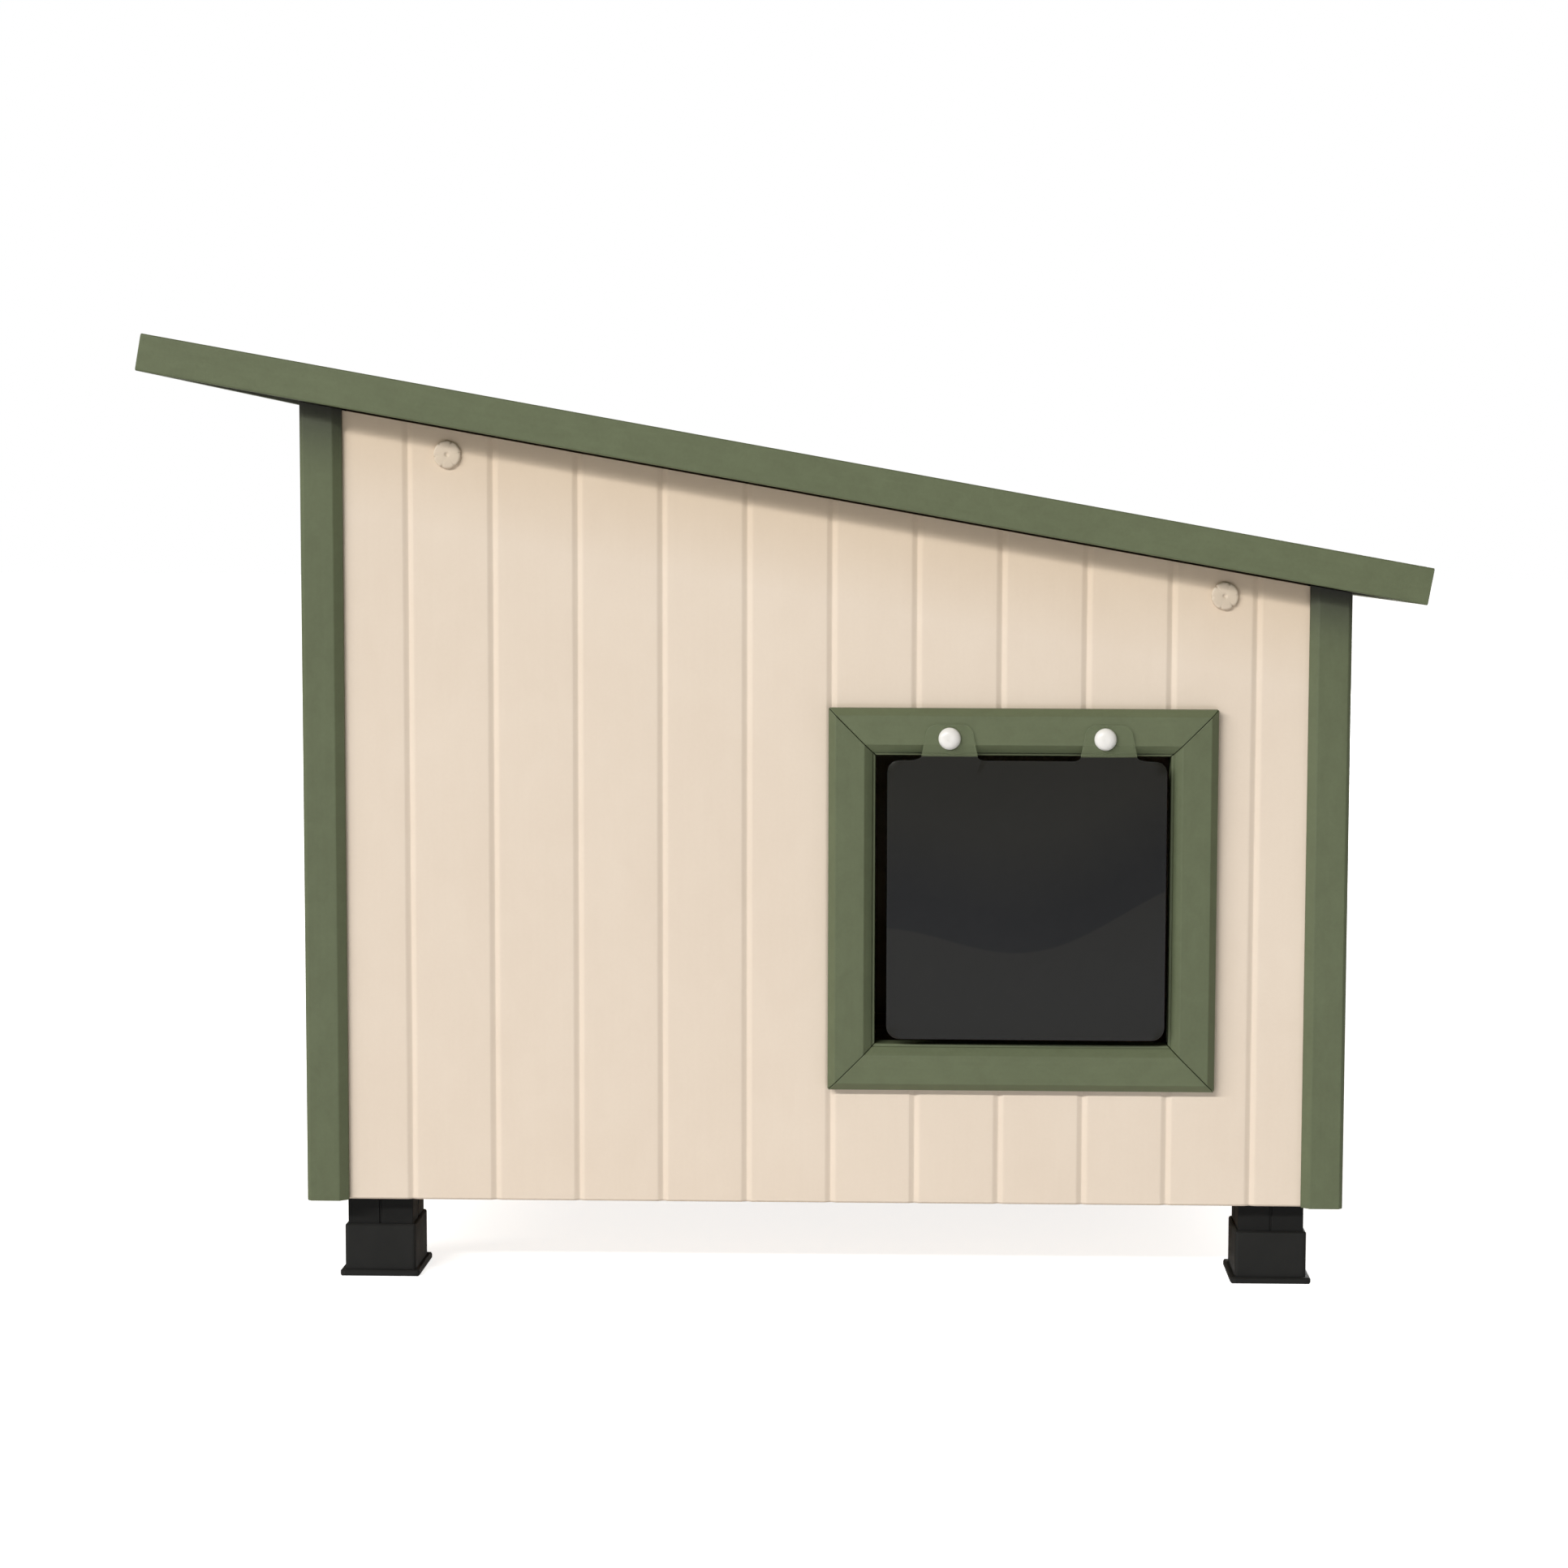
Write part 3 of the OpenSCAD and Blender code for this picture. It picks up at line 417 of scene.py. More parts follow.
@dataclass(frozen=True)
class PaintFinish(Finish):
    """Satin paint laid on with a brush: streaks, worn patches, mottling and a slight orange peel.

    Its light tones are a little cooler than its dark ones, by the share named drift. Close under the roof it
    carries painted shade, the shade of the roof's overhang: it is darker there by the given shares, fading
    out down to the given reach.
    """

    colour: Colour
    grain: Grain
    streak_size: float = 2.2
    streak_stretch: float = 30.0
    streak_tone: float = 0.018
    mottle_size: float = 1.8
    mottle_tone: float = 0.03
    patch_size: float = 9.0
    patch_stretch: float = 1.6
    patch_warp: float = 0.7
    patch_tone: float = 0.045
    cloud_size: float = 90.0
    cloud_warp: float = 0.5
    cloud_tone: float = 0.025
    drift: float = 0.008
    # Painted shade under the roof: its tones, how far down it reaches and how fast it fades.
    painted_eave_shade: Colour = (1.0, 1.0, 1.0)
    eave_shade_reach: float = 55.0
    eave_shade_fall: float = 1.0
    roughness: float = 0.52
    roughness_change: float = 0.06
    specular: float = 0.3
    relief: float = 0.05
    relief_strength: float = 0.6

    def fill(self, graph: Graph) -> None:
        """Paints streaks, mottling, patches and clouds, each a little darker and lighter, and painted shade
        close under the roof.

        Args:
            graph: the finish's shading tree.
        """
        streaks = graph.noise(self.streak_size, 4, self.grain, self.streak_stretch)
        mottle = graph.noise(self.mottle_size)
        patches = graph.noise(self.patch_size, 3, self.grain, self.patch_stretch, self.patch_warp)
        clouds = graph.noise(self.cloud_size, 2, distortion=self.cloud_warp)
        tone = graph.spread(streaks, -self.streak_tone, self.streak_tone)
        for pattern, share in (
            (mottle, self.mottle_tone), (patches, self.patch_tone), (clouds, self.cloud_tone)
        ):
            tone = graph.math("ADD", tone, graph.spread(pattern, -share, share))
        reach = self.streak_tone + self.mottle_tone + self.patch_tone + self.cloud_tone
        factor = graph.spread(tone, 0.0, 1.0, -reach, reach)
        red, green, blue = self.colour
        warm = (red * (1 + self.drift), green, blue * (1 - self.drift))
        cool = (red * (1 - self.drift), green, blue * (1 + self.drift))
        paint = graph.tones(factor, scaled(warm, 1 - reach), scaled(cool, 1 + reach))
        # Painted shade: the colour darkens towards the roof's underside, where the overhang shades it.
        eave_shade_share = graph.painted_eave_shade(self.eave_shade_reach, self.eave_shade_fall)
        change = self.roughness_change
        graph.set(
            Base_Color=graph.tones(eave_shade_share, paint, self.painted_eave_shade, "MULTIPLY"),
            Roughness=graph.spread(mottle, self.roughness - change, self.roughness + change),
            Specular_IOR_Level=self.specular,
        )
        graph.relief(graph.math("ADD", streaks, mottle), self.relief, self.relief_strength)


@dataclass(frozen=True)
class PlasticFinish(Finish):
    """Moulded plastic with a fine spark-eroded skin."""

    colour: Colour
    roughness: float
    roughness_change: float = 0.05
    specular: float = 0.4
    cloud_size: float = 14.0
    cloud_warp: float = 0.4
    skin_size: float = 0.45
    skin_depth: float = 0.02
    skin_strength: float = 0.5
    tone: float = 0.08
    glow: float = 0.0
    glow_reach: float = 1.5
    glow_spread: Colour = (1.0, 0.9, 0.8)

    def fill(self, graph: Graph) -> None:
        """Gives the plastic faint clouds, handling marks in its gloss and its skin.

        Args:
            graph: the finish's shading tree.
        """
        clouds = graph.noise(self.cloud_size, distortion=self.cloud_warp)
        skin = graph.noise(self.skin_size, 2)
        dark, light = scaled(self.colour, 1 - self.tone), scaled(self.colour, 1 + self.tone)
        change = self.roughness_change
        graph.set(
            Base_Color=graph.tones(graph.spread(clouds, 0.0, 1.0), dark, light),
            Roughness=graph.spread(clouds, self.roughness - change, self.roughness + change),
            Specular_IOR_Level=self.specular,
            Subsurface_Weight=self.glow,
        )
        if self.glow:
            graph.set(Subsurface_Radius=self.glow_spread, Subsurface_Scale=self.glow_reach * MM)
        graph.relief(skin, self.skin_depth, self.skin_strength)


@dataclass(frozen=True)
class DimReflectionZone:
    """Where the sheet is painted darker, as a painted dim reflection: above one wavy line across it, fading
    out upwards.

    The line is a sine along X, shifted by the angle turn in radians, and it climbs slightly.
    Above it, the zone starts over the width edge, is full up to one height and ends at another.
    """

    height: float = 178.0
    rise: float = 13.2
    length: float = 190.0
    turn: float = 0.2
    climb: float = 0.16
    edge: float = 1.0
    full: float = 20.0
    end: float = 62.0

    def share(self, graph: Graph) -> Socket:
        """How far each point lies in the zone.

        Args:
            graph: the sheet's shading tree.

        Returns:
            The share, 1 just above the line and 0 outside the zone.
        """
        axes = graph.add("ShaderNodeSeparateXYZ", {"Vector": graph.place()})
        across, height = axes.outputs["X"], axes.outputs["Z"]
        angle = graph.math("MULTIPLY", across, math.tau / (self.length * MM))
        wave = graph.math("SINE", graph.math("ADD", angle, self.turn), 0.0)
        climb = graph.math("MULTIPLY", across, self.climb)
        line = graph.math("ADD", graph.math("MULTIPLY", wave, self.rise * MM), climb)
        above = graph.math("SUBTRACT", graph.math("SUBTRACT", height, self.height * MM), line)
        onset = graph.spread(above, 0.0, 1.0, 0.0, self.edge * MM)
        fade = graph.spread(above, 1.0, 0.0, self.full * MM, self.end * MM)
        return graph.math("MULTIPLY", onset, fade)


@dataclass(frozen=True)
class SheetFinish(Finish):
    """Smoky vinyl sheet: dark where it hangs over the doorway, milky clear in its tabs.

    The piece's attribute "tab" is 1 in the tabs and 0 in the panel, and "rim" is 1 on the sheet's cut edge,
    which is painted lighter as a painted highlight.
    """

    smoke: Colour
    haze: Colour
    rim_highlight: Colour
    smoke_alpha: float = 0.96
    haze_alpha: float = 0.29
    rim_alpha: float = 0.4
    rim_highlight_tone: float = 1.7
    zone: DimReflectionZone = DimReflectionZone()
    dim_reflection_tone: float = 0.08
    dust_size: float = 0.6
    dust_tones: Span = (0.94, 1.08)
    cloud_size: float = 45.0
    cloud_warp: float = 0.8
    cloud_share: float = 0.85
    roughness: Span = (0.3, 0.42)
    specular: float = 0.35
    relief: float = 0.3
    relief_strength: float = 0.35

    def fill(self, graph: Graph) -> None:
        """Blends smoke into haze in the tabs, and paints the smoke darker in its zone, as a painted dim
        reflection.

        Args:
            graph: the finish's shading tree.
        """
        lift = graph.add("ShaderNodeAttribute", attribute_name="tab").outputs["Fac"]
        rim = graph.add("ShaderNodeAttribute", attribute_name="rim").outputs["Fac"]
        dust = graph.noise(self.dust_size, 4)
        clouds = graph.noise(self.cloud_size, 2, distortion=self.cloud_warp)
        thin, thick = (scaled(self.smoke, tone) for tone in self.dust_tones)
        dusty = graph.tones(graph.spread(dust, 0.0, 1.0), thin, thick)
        # Painted reflection: the smoke is painted darker in the zone where the sheet's reflection is dim.
        dark = graph.math(
            "MULTIPLY", self.zone.share(graph), graph.spread(clouds, self.cloud_share, 1.0)
        )
        smoke = graph.tones(dark, dusty, scaled(self.smoke, self.dim_reflection_tone))
        # Painted highlight: the cut edge is painted lighter, in the smoke and in the tabs.
        panel = graph.tones(rim, smoke, scaled(self.smoke, self.rim_highlight_tone))
        tabs = graph.tones(rim, self.haze, self.rim_highlight)
        sheet_alpha = graph.spread(lift, self.smoke_alpha, self.haze_alpha, 0.0, 1.0)
        rim_alpha = graph.math("MULTIPLY", rim, self.rim_alpha)
        graph.set(
            Base_Color=graph.tones(lift, panel, tabs),
            Alpha=graph.math("MAXIMUM", sheet_alpha, rim_alpha),
            Roughness=graph.spread(dust, *self.roughness),
            Specular_IOR_Level=self.specular,
        )
        graph.relief(clouds, self.relief, self.relief_strength)


@dataclass(frozen=True)
class FeltFinish(Finish):
    """Mineral roofing felt: crushed slate bedded in bitumen."""

    colour: Colour
    grit_size: float = 1.3
    grit_tones: Span = (0.62, 1.45)
    worn_size: float = 60.0
    worn_share: float = 0.3
    worn_tone: float = 0.75
    roughness: float = 0.93
    specular: float = 0.2
    relief: float = 0.35
    relief_strength: float = 0.8

    def fill(self, graph: Graph) -> None:
        """Gives each grit its own tone and lift, with worn clouds over the whole.

        Args:
            graph: the finish's shading tree.
        """
        grit = graph.add(
            "ShaderNodeTexVoronoi", {"Vector": graph.place(), "Scale": 1 / (self.grit_size * MM)}
        )
        tone = graph.add("ShaderNodeSeparateColor", {"Color": grit.outputs["Color"]})
        dark, light = (scaled(self.colour, share) for share in self.grit_tones)
        grains = graph.tones(tone.outputs[0], dark, light)
        worn = graph.spread(graph.noise(self.worn_size), 0.0, self.worn_share)
        graph.set(
            Base_Color=graph.tones(worn, grains, scaled(self.colour, self.worn_tone)),
            Roughness=self.roughness,
            Specular_IOR_Level=self.specular,
        )
        lift = graph.math("SUBTRACT", 1.0, grit.outputs["Distance"])
        graph.relief(lift, self.relief, self.relief_strength)


@dataclass(frozen=True)
class BoardFinish(Finish):
    """Bare sanded softwood, with early and late wood and fine pores along the grain."""

    early: Colour
    late: Colour
    grain: Grain
    ring_size: float = 9.0
    ring_stretch: float = 22.0
    ring_warp: float = 0.6
    ring_folds: float = 5.0
    ring_start: float = 0.35
    streak_size: float = 1.6
    streak_stretch: float = 40.0
    streak_share: float = 0.5
    streak_tone: float = 1.12
    pore_size: float = 0.5
    pore_stretch: float = 25.0
    pore_share: float = 0.16
    pore_tone: float = 0.55
    roughness: Span = (0.58, 0.72)
    specular: float = 0.25
    relief: float = 0.06
    relief_strength: float = 0.5

    def fill(self, graph: Graph) -> None:
        """Lays rings, streaks and pores along the grain.

        Args:
            graph: the finish's shading tree.
        """
        rings = graph.noise(self.ring_size, 2, self.grain, self.ring_stretch, self.ring_warp)
        folded = graph.math("PINGPONG", graph.math("MULTIPLY", rings, self.ring_folds), 1.0)
        streaks = graph.noise(self.streak_size, 5, self.grain, self.streak_stretch)
        pores = graph.noise(self.pore_size, 2, self.grain, self.pore_stretch)
        wood = graph.tones(graph.spread(folded, 0.0, 1.0, self.ring_start, 1.0), self.early, self.late)
        streaked = graph.tones(
            graph.spread(streaks, 0.0, self.streak_share), wood, scaled(self.late, self.streak_tone)
        )
        pored = graph.tones(
            graph.spread(pores, self.pore_share, 0.0), streaked, scaled(self.late, self.pore_tone)
        )
        graph.set(
            Base_Color=pored,
            Roughness=graph.spread(streaks, *self.roughness),
            Specular_IOR_Level=self.specular,
        )
        graph.relief(graph.math("ADD", folded, pores), self.relief, self.relief_strength)


@dataclass(frozen=True)
class MetalFinish(Finish):
    """Zinc plated steel with a dull crystalline bloom."""

    colour: Colour = (0.56, 0.565, 0.57)
    bloom_size: float = 5.0
    bloom_warp: float = 0.8
    bloom_tones: Span = (0.84, 1.1)
    grit_size: float = 0.4
    grit_stretch: float = 12.0
    roughness: Span = (0.26, 0.44)
    relief: float = 0.01
    relief_strength: float = 0.5

    def fill(self, graph: Graph) -> None:
        """Varies the tone and the gloss of the plating.

        Args:
            graph: the finish's shading tree.
        """
        bloom = graph.noise(self.bloom_size, 4, distortion=self.bloom_warp)
        grit = graph.noise(self.grit_size, 2, Grain.ALONG, self.grit_stretch)
        dark, light = (scaled(self.colour, tone) for tone in self.bloom_tones)
        graph.set(
            Base_Color=graph.tones(graph.spread(bloom, 0.0, 1.0), dark, light),
            Roughness=graph.spread(bloom, *self.roughness),
            Metallic=1.0,
        )
        graph.relief(grit, self.relief, self.relief_strength)


BEIGE: Colour = (0.762, 0.647, 0.528)
GREEN: Colour = (0.1225, 0.1435, 0.0765)
BLACK: Colour = (0.0085, 0.0085, 0.0078)
BARE_EARLY: Colour = (0.62, 0.46, 0.28)
BARE_LATE: Colour = (0.48, 0.32, 0.17)

# The boards take a light, warm painted shade under the eaves.
BOARD_PAINT = PaintFinish(
    "cream_board_paint", "wall_paint", BEIGE, Grain.UP, streak_tone=0.004, mottle_tone=0.007,
    patch_size=26.0, patch_tone=0.012, cloud_tone=0.012, painted_eave_shade=(0.9, 0.85, 0.77), roughness=0.6,
    specular=0.12, relief=0.015,
)
# The posts take a deep painted shade at their tops, under the eaves.
POST_PAINT = PaintFinish(
    "moss_post_paint", "green_paint", scaled(GREEN, 0.935), Grain.UP, painted_eave_shade=(0.25, 0.2, 0.32),
    eave_shade_reach=45.0, eave_shade_fall=2.0,
)
SLOPE_PAINT = PaintFinish(
    "moss_edge_board_paint", "green_paint", GREEN, Grain.SLOPE, streak_stretch=12.0
)
# Painted shade: the lining is painted nearly black, for the deep shade under the roof.
SHADED_LINING_PAINT = PaintFinish(
    "dark_moss_lining_paint", "green_paint", scaled(GREEN, 0.15), Grain.SLOPE, roughness=0.8,
    specular=0.02,
)
DEEP_PAINT = PaintFinish("moss_end_board_paint", "green_paint", GREEN, Grain.DEEP)
ACROSS_PAINT = PaintFinish("moss_rail_paint", "green_paint", GREEN, Grain.ALONG)
LEG_PLASTIC = PlasticFinish(
    "black_leg_plastic", "leg_plastic", scaled(BLACK, 1.1), 0.5, specular=0.14
)
SHOE_PLASTIC = PlasticFinish(
    "black_shoe_plastic", "shoe_plastic", scaled(BLACK, 1.8), 0.55, specular=0.16
)
BOLT_PLASTIC = PlasticFinish(
    "cream_bolt_plastic", "bolt_plastic", (0.635, 0.53, 0.41), 0.42, tone=0.02
)
PIN_PLASTIC = PlasticFinish(
    "white_pin_plastic", "pin_plastic", (0.82, 0.8, 0.76), 0.3, tone=0.02, glow=0.1
)
CLEAR_SHEET = SheetFinish(
    "smoky_clear_sheet", "clear_sheet", smoke=(0.0084, 0.0077, 0.005), haze=(0.222, 0.26, 0.146),
    rim_highlight=(0.44, 0.49, 0.35),
)
MINERAL_FELT = FeltFinish("green_mineral_felt", "roof_felt", (0.075, 0.095, 0.06))
BARE_ALONG = BoardFinish("bare_board_along", "inner_board", BARE_EARLY, BARE_LATE, Grain.ALONG)
BARE_DEEP = BoardFinish("bare_board_deep", "inner_board", BARE_EARLY, BARE_LATE, Grain.DEEP)
ZINC = MetalFinish("zinc_plated_steel", "zinc_steel")


class Rule(Tree):
    """A Geometry Nodes tree with named sizes, run once so that it leaves a plain mesh."""

    def __init__(self, name: str) -> None:
        """Starts the tree with a geometry input and output.

        Args:
            name: the tree's name.
        """
        super().__init__(bpy.data.node_groups.new(name, "GeometryNodeTree"))
        self.values: dict[str, object] = {}
        for way in ("INPUT", "OUTPUT"):
            self.tree.interface.new_socket("Geometry", in_out=way, socket_type="NodeSocketGeometry")
        self.entry = self.add("NodeGroupInput")
        self.exit = self.add("NodeGroupOutput")

    def size(self, name: str, value: object, kind: str = "NodeSocketFloat") -> Socket:
        """Adds a named input.

        Args:
            name: the input's name.
            value: what it is set to.
            kind: its socket type.

        Returns:
            The output that gives it inside the tree.
        """
        socket = self.tree.interface.new_socket(name, in_out="INPUT", socket_type=kind)
        self.values[socket.identifier] = value
        return self.entry.outputs[name]

    def attribute(self, name: str, kind: str = "FLOAT") -> Socket:
        """The output that reads a mesh attribute."""
        reader = self.add("GeometryNodeInputNamedAttribute", {"Name": name}, data_type=kind)
        return reader.outputs["Attribute"]

    def run(self, piece: Piece, geometry: Socket, finish: Finish) -> None:
        """Ends the tree, runs it on a piece and leaves the result as the piece's plain mesh.

        Args:
            piece: the object that the tree starts from.
            geometry: the tree's last geometry output.
            finish: the finish that it is given.
        """
        real = self.add("GeometryNodeRealizeInstances", {"Geometry": geometry})
        dressed = self.add(
            "GeometryNodeSetMaterial",
            {"Geometry": real.outputs["Geometry"], "Material": finish.material()},
        )
        self.fill(self.exit.inputs["Geometry"], dressed.outputs["Geometry"])
        modifier = piece.modifiers.new(self.tree.name, "NODES")
        modifier.node_group = self.tree
        for identifier, value in self.values.items():
            modifier[identifier] = value
        graph = bpy.context.evaluated_depsgraph_get()
        mesh = bpy.data.meshes.new_from_object(piece.evaluated_get(graph), depsgraph=graph)
        piece.modifiers.remove(modifier)
        piece.data = mesh
        piece.data.name = piece.name


def make_object(name: str, bm: Shape) -> Piece:
    """Turns a bmesh into a linked object of the same place.

    Args:
        name: the object's name.
        bm: the shape, in metres; it is freed.

    Returns:
        The new object.
    """
    mesh = bpy.data.meshes.new(name)
    bm.to_mesh(mesh)
    bm.free()
    piece = bpy.data.objects.new(name, mesh)
    bpy.context.scene.collection.objects.link(piece)
    return piece


def smooth(piece: Piece, angle: float = EDGE_ANGLE) -> None:
    """Shades a piece smooth, with creases where its faces meet at more than an angle.

    Args:
        piece: the object.
        angle: the angle, in radians.
    """
    for polygon in piece.data.polygons:
        polygon.use_smooth = True
    piece.data.set_sharp_from_angle(angle=angle)


def cad_shape(node: str) -> Shape:
    """A copy of a CAD node's mesh with its loose triangles joined.

    Args:
        node: the node's name.

    Returns:
        The shape, in metres.
    """
    bm = bmesh.new()
    bm.from_mesh(FRAME["nodes"][node].data)
    bmesh.ops.remove_doubles(bm, verts=bm.verts, dist=JOIN_DISTANCE)
    return bm


def body_of(node: str) -> str:
    """The body that a CAD node rides on."""
    return FRAME["nodes"][node]["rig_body"]


def settle(piece: Piece, finish: Finish, *nodes: str, body: str | None = None) -> Piece:
    """Gives a piece its finish and its body, and hides the CAD nodes that it stands for.

    Args:
        piece: the finished object.
        finish: its finish.
        *nodes: the CAD nodes that it replaces.
        body: its body, where it replaces no node.

    Returns:
        The piece.
    """
    piece.data.materials.clear()
    piece.data.materials.append(finish.material())
    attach(piece, body or body_of(nodes[0]))
    if nodes:
        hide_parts(*nodes)
    stands_for = ", ".join(nodes) or "itself"
    LOG.info("%s: %d faces, for %s", piece.name, len(piece.data.polygons), stands_for)
    return piece


def softened(
    node: str, name: str, finish: Finish, width: float, segments: int = 2, shortest: float = 1.05
) -> Piece:
    """A CAD node's shape with its long edges rounded over.

    Args:
        node: the node that it is copied from and stands for.
        name: the new piece's name.
        finish: its finish.
        width: width of the rounding in millimetres.
        segments: steps of the rounding.
        shortest: the shortest edge that is rounded, in millimetres.

    Returns:
        The piece, with live Bevel and Weighted Normal modifiers.
    """
    bm = cad_shape(node)
    bmesh.ops.dissolve_limit(bm, angle_limit=FLAT_ANGLE, verts=bm.verts, edges=bm.edges)
    weight = bm.edges.layers.float.new("bevel_weight_edge")
    for edge in bm.edges:
        crease = edge.is_manifold and edge.calc_face_angle() > EDGE_ANGLE
        rounded = crease and edge.calc_length() > shortest * MM
        edge[weight] = 1.0 if rounded else 0.0
        edge.smooth = rounded or not crease
    for face in bm.faces:
        face.smooth = True
    piece = make_object(name, bm)
    bevel = piece.modifiers.new("rounded edges", "BEVEL")
    bevel.limit_method = "WEIGHT"
    bevel.width = width * MM
    bevel.segments = segments
    bevel.use_clamp_overlap = True
    flats = piece.modifiers.new("flat faces stay flat", "WEIGHTED_NORMAL")
    flats.keep_sharp = True
    return settle(piece, finish, node)


def dress(node: str, finish: Finish) -> None:
    """Gives a CAD node that stays as it is a better material.

    Args:
        node: the node's name.
        finish: its finish.
    """
    mesh = FRAME["nodes"][node].data
    mesh.materials.clear()
    mesh.materials.append(finish.material())
    LOG.info("%s keeps its shape, in %s", node, finish.name)


@dataclass(frozen=True)
class Solid:
    """One turned solid of a CAD node: where its head is, which way it points, how long it is."""

    head: Vector
    aim: Vector
    length: float
    radius: float


def islands(bm: Shape) -> list[list[int]]:
    """Finds the parts of a shape that aren't joined.

    Args:
        bm: the shape.

    Returns:
        The indices of each part's points.
    """
    bm.verts.ensure_lookup_table()
    left = set(range(len(bm.verts)))
    found = []
    while left:
        stack = [left.pop()]
        members = []
        while stack:
            index = stack.pop()
            members.append(index)
            for edge in bm.verts[index].link_edges:
                other = edge.other_vert(bm.verts[index]).index
                if other in left:
                    left.remove(other)
                    stack.append(other)
        found.append(members)
    return found


def turned_solids(node: str) -> list[Solid]:
    """Finds the separate turned solids of a CAD node.

    Args:
        node: the node's name.

    Returns:
        One entry for each solid. The head is its wider end, and aim points out of the head.
    """
    bm = cad_shape(node)
    found = []
    for members in islands(bm):
        points = np.array([bm.verts[i].co for i in members])
        middle = (points.min(0) + points.max(0)) / 2
        way = np.linalg.svd(points - points.mean(0))[2][0]
        along = (points - middle) @ way
        away = np.linalg.norm(points - middle - np.outer(along, way), axis=1)
        half = (along.max() - along.min()) / 2
        first_end = away[along < along.min() + END_SHARE * half]
        last_end = away[along > along.min() + (2 - END_SHARE) * half]
        if last_end.max() <= first_end.max():
            way, along = -way, -along
        head = middle + way * along.max()
        found.append(Solid(Vector(head), Vector(way), 2 * half, float(away.max())))
    bm.free()
    return sorted(found, key=lambda solid: tuple(round(c, 5) for c in solid.head))


def turned(
    profile: Sequence[tuple[float, float]],
    steps: int,
    warp: Callable[[float, float, float], tuple[float, float]] | None = None,
) -> Shape:
    """Turns a profile about Z into a closed shape.

    Args:
        profile: radius and height of each point in millimetres, from the axis to the axis.
        steps: sides of the round.
        warp: changes a point's radius and height, given those and its angle.

    Returns:
        The shape, in metres.
    """
    bm = bmesh.new()
    rings: list[list[Vert]] = []
    for radius, height in profile:
        if radius <= 0:
            rings.append([bm.verts.new((0, 0, height * MM))])
            continue
        ring = []
        for step in range(steps):
            angle = math.tau * step / steps
            r, h = warp(radius, height, angle) if warp else (radius, height)
            ring.append(bm.verts.new((r * math.cos(angle) * MM, r * math.sin(angle) * MM, h * MM)))
        rings.append(ring)
    for first, second in zip(rings, rings[1:]):
        for step in range(steps):
            after = (step + 1) % steps
            if len(first) == 1:
                bm.faces.new((first[0], second[step], second[after]))
            elif len(second) == 1:
                bm.faces.new((first[step], second[0], first[after]))
            else:
                bm.faces.new((first[step], second[step], second[after], first[after]))
    bmesh.ops.recalc_face_normals(bm, faces=bm.faces)
    return bm


def arc(
    centre: tuple[float, float], radius: float, start: float, end: float, steps: int
) -> list[tuple[float, float]]:
    """Points on an arc, from one angle to the other in degrees, both ends included."""
    angles = (math.radians(start + (end - start) * i / steps) for i in range(steps + 1))
    return [(centre[0] + radius * math.cos(a), centre[1] + radius * math.sin(a)) for a in angles]


def repeated(
    name: str,
    template: Shape,
    spots: Sequence[tuple[Vector, Vector]],
    finish: Finish,
    spin: float = 0.0,
) -> Piece:
    """Repeats one shape on spots with a Geometry Nodes tree.

    Args:
        name: the new piece's name.
        template: the shape, with its own Z as its outward way; it is freed.
        spots: where each copy sits, and which way its Z points.
        finish: the copies' finish.
        spin: turn of each copy about its own Z from the one before, in degrees.

    Returns:
        One object with every copy.
    """
    shape = make_object(name + "_shape", template)
    smooth(shape)
    bm = bmesh.new()
    aim = bm.verts.layers.float_vector.new("aim")
    for index, (place, way) in enumerate(spots):
        spun = Matrix.Rotation(math.radians(spin * index), 3, "Z").to_quaternion()
        turn = way.to_track_quat("Z", "Y") @ spun
        bm.verts.new(place)[aim] = Vector(turn.to_euler())
    piece = make_object(name, bm)
    rule = Rule(name + "_repeat")
    shape_input = rule.size("Shape", shape, "NodeSocketObject")
    source = rule.add("GeometryNodeObjectInfo", {"Object": shape_input})
    turns = rule.add("FunctionNodeEulerToRotation", {"Euler": rule.attribute("aim", "FLOAT_VECTOR")})
    copies = rule.add(
        "GeometryNodeInstanceOnPoints",
        {
            "Points": rule.entry.outputs["Geometry"],
            "Instance": source.outputs["Geometry"],
            "Rotation": turns.outputs["Rotation"],
        },
    )
    rule.run(piece, copies.outputs["Instances"], finish)
    bpy.data.objects.remove(shape)
    return piece


@dataclass(frozen=True)
class Board:
    """One wall board: the node it stands for, the way into it, its grooves and its doorway."""

    name: str
    node: str
    inward: Vector
    first_groove: float
    grooves: int
    door: Box | None = None

    @property
    def axis(self) -> int:
        """The axis that the board runs along, 0 for X and 1 for Y."""
        return 1 if self.inward.x else 0

    @property
    def door_sides(self) -> list[float]:
        """The doorway's two sides along the board, where it has one."""
        return [corner.x for corner in self.door] if self.door else []

    @property
    def door_levels(self) -> list[float]:
        """The heights of the doorway's bottom and top, where it has one."""
        return [corner.z for corner in self.door] if self.door else []


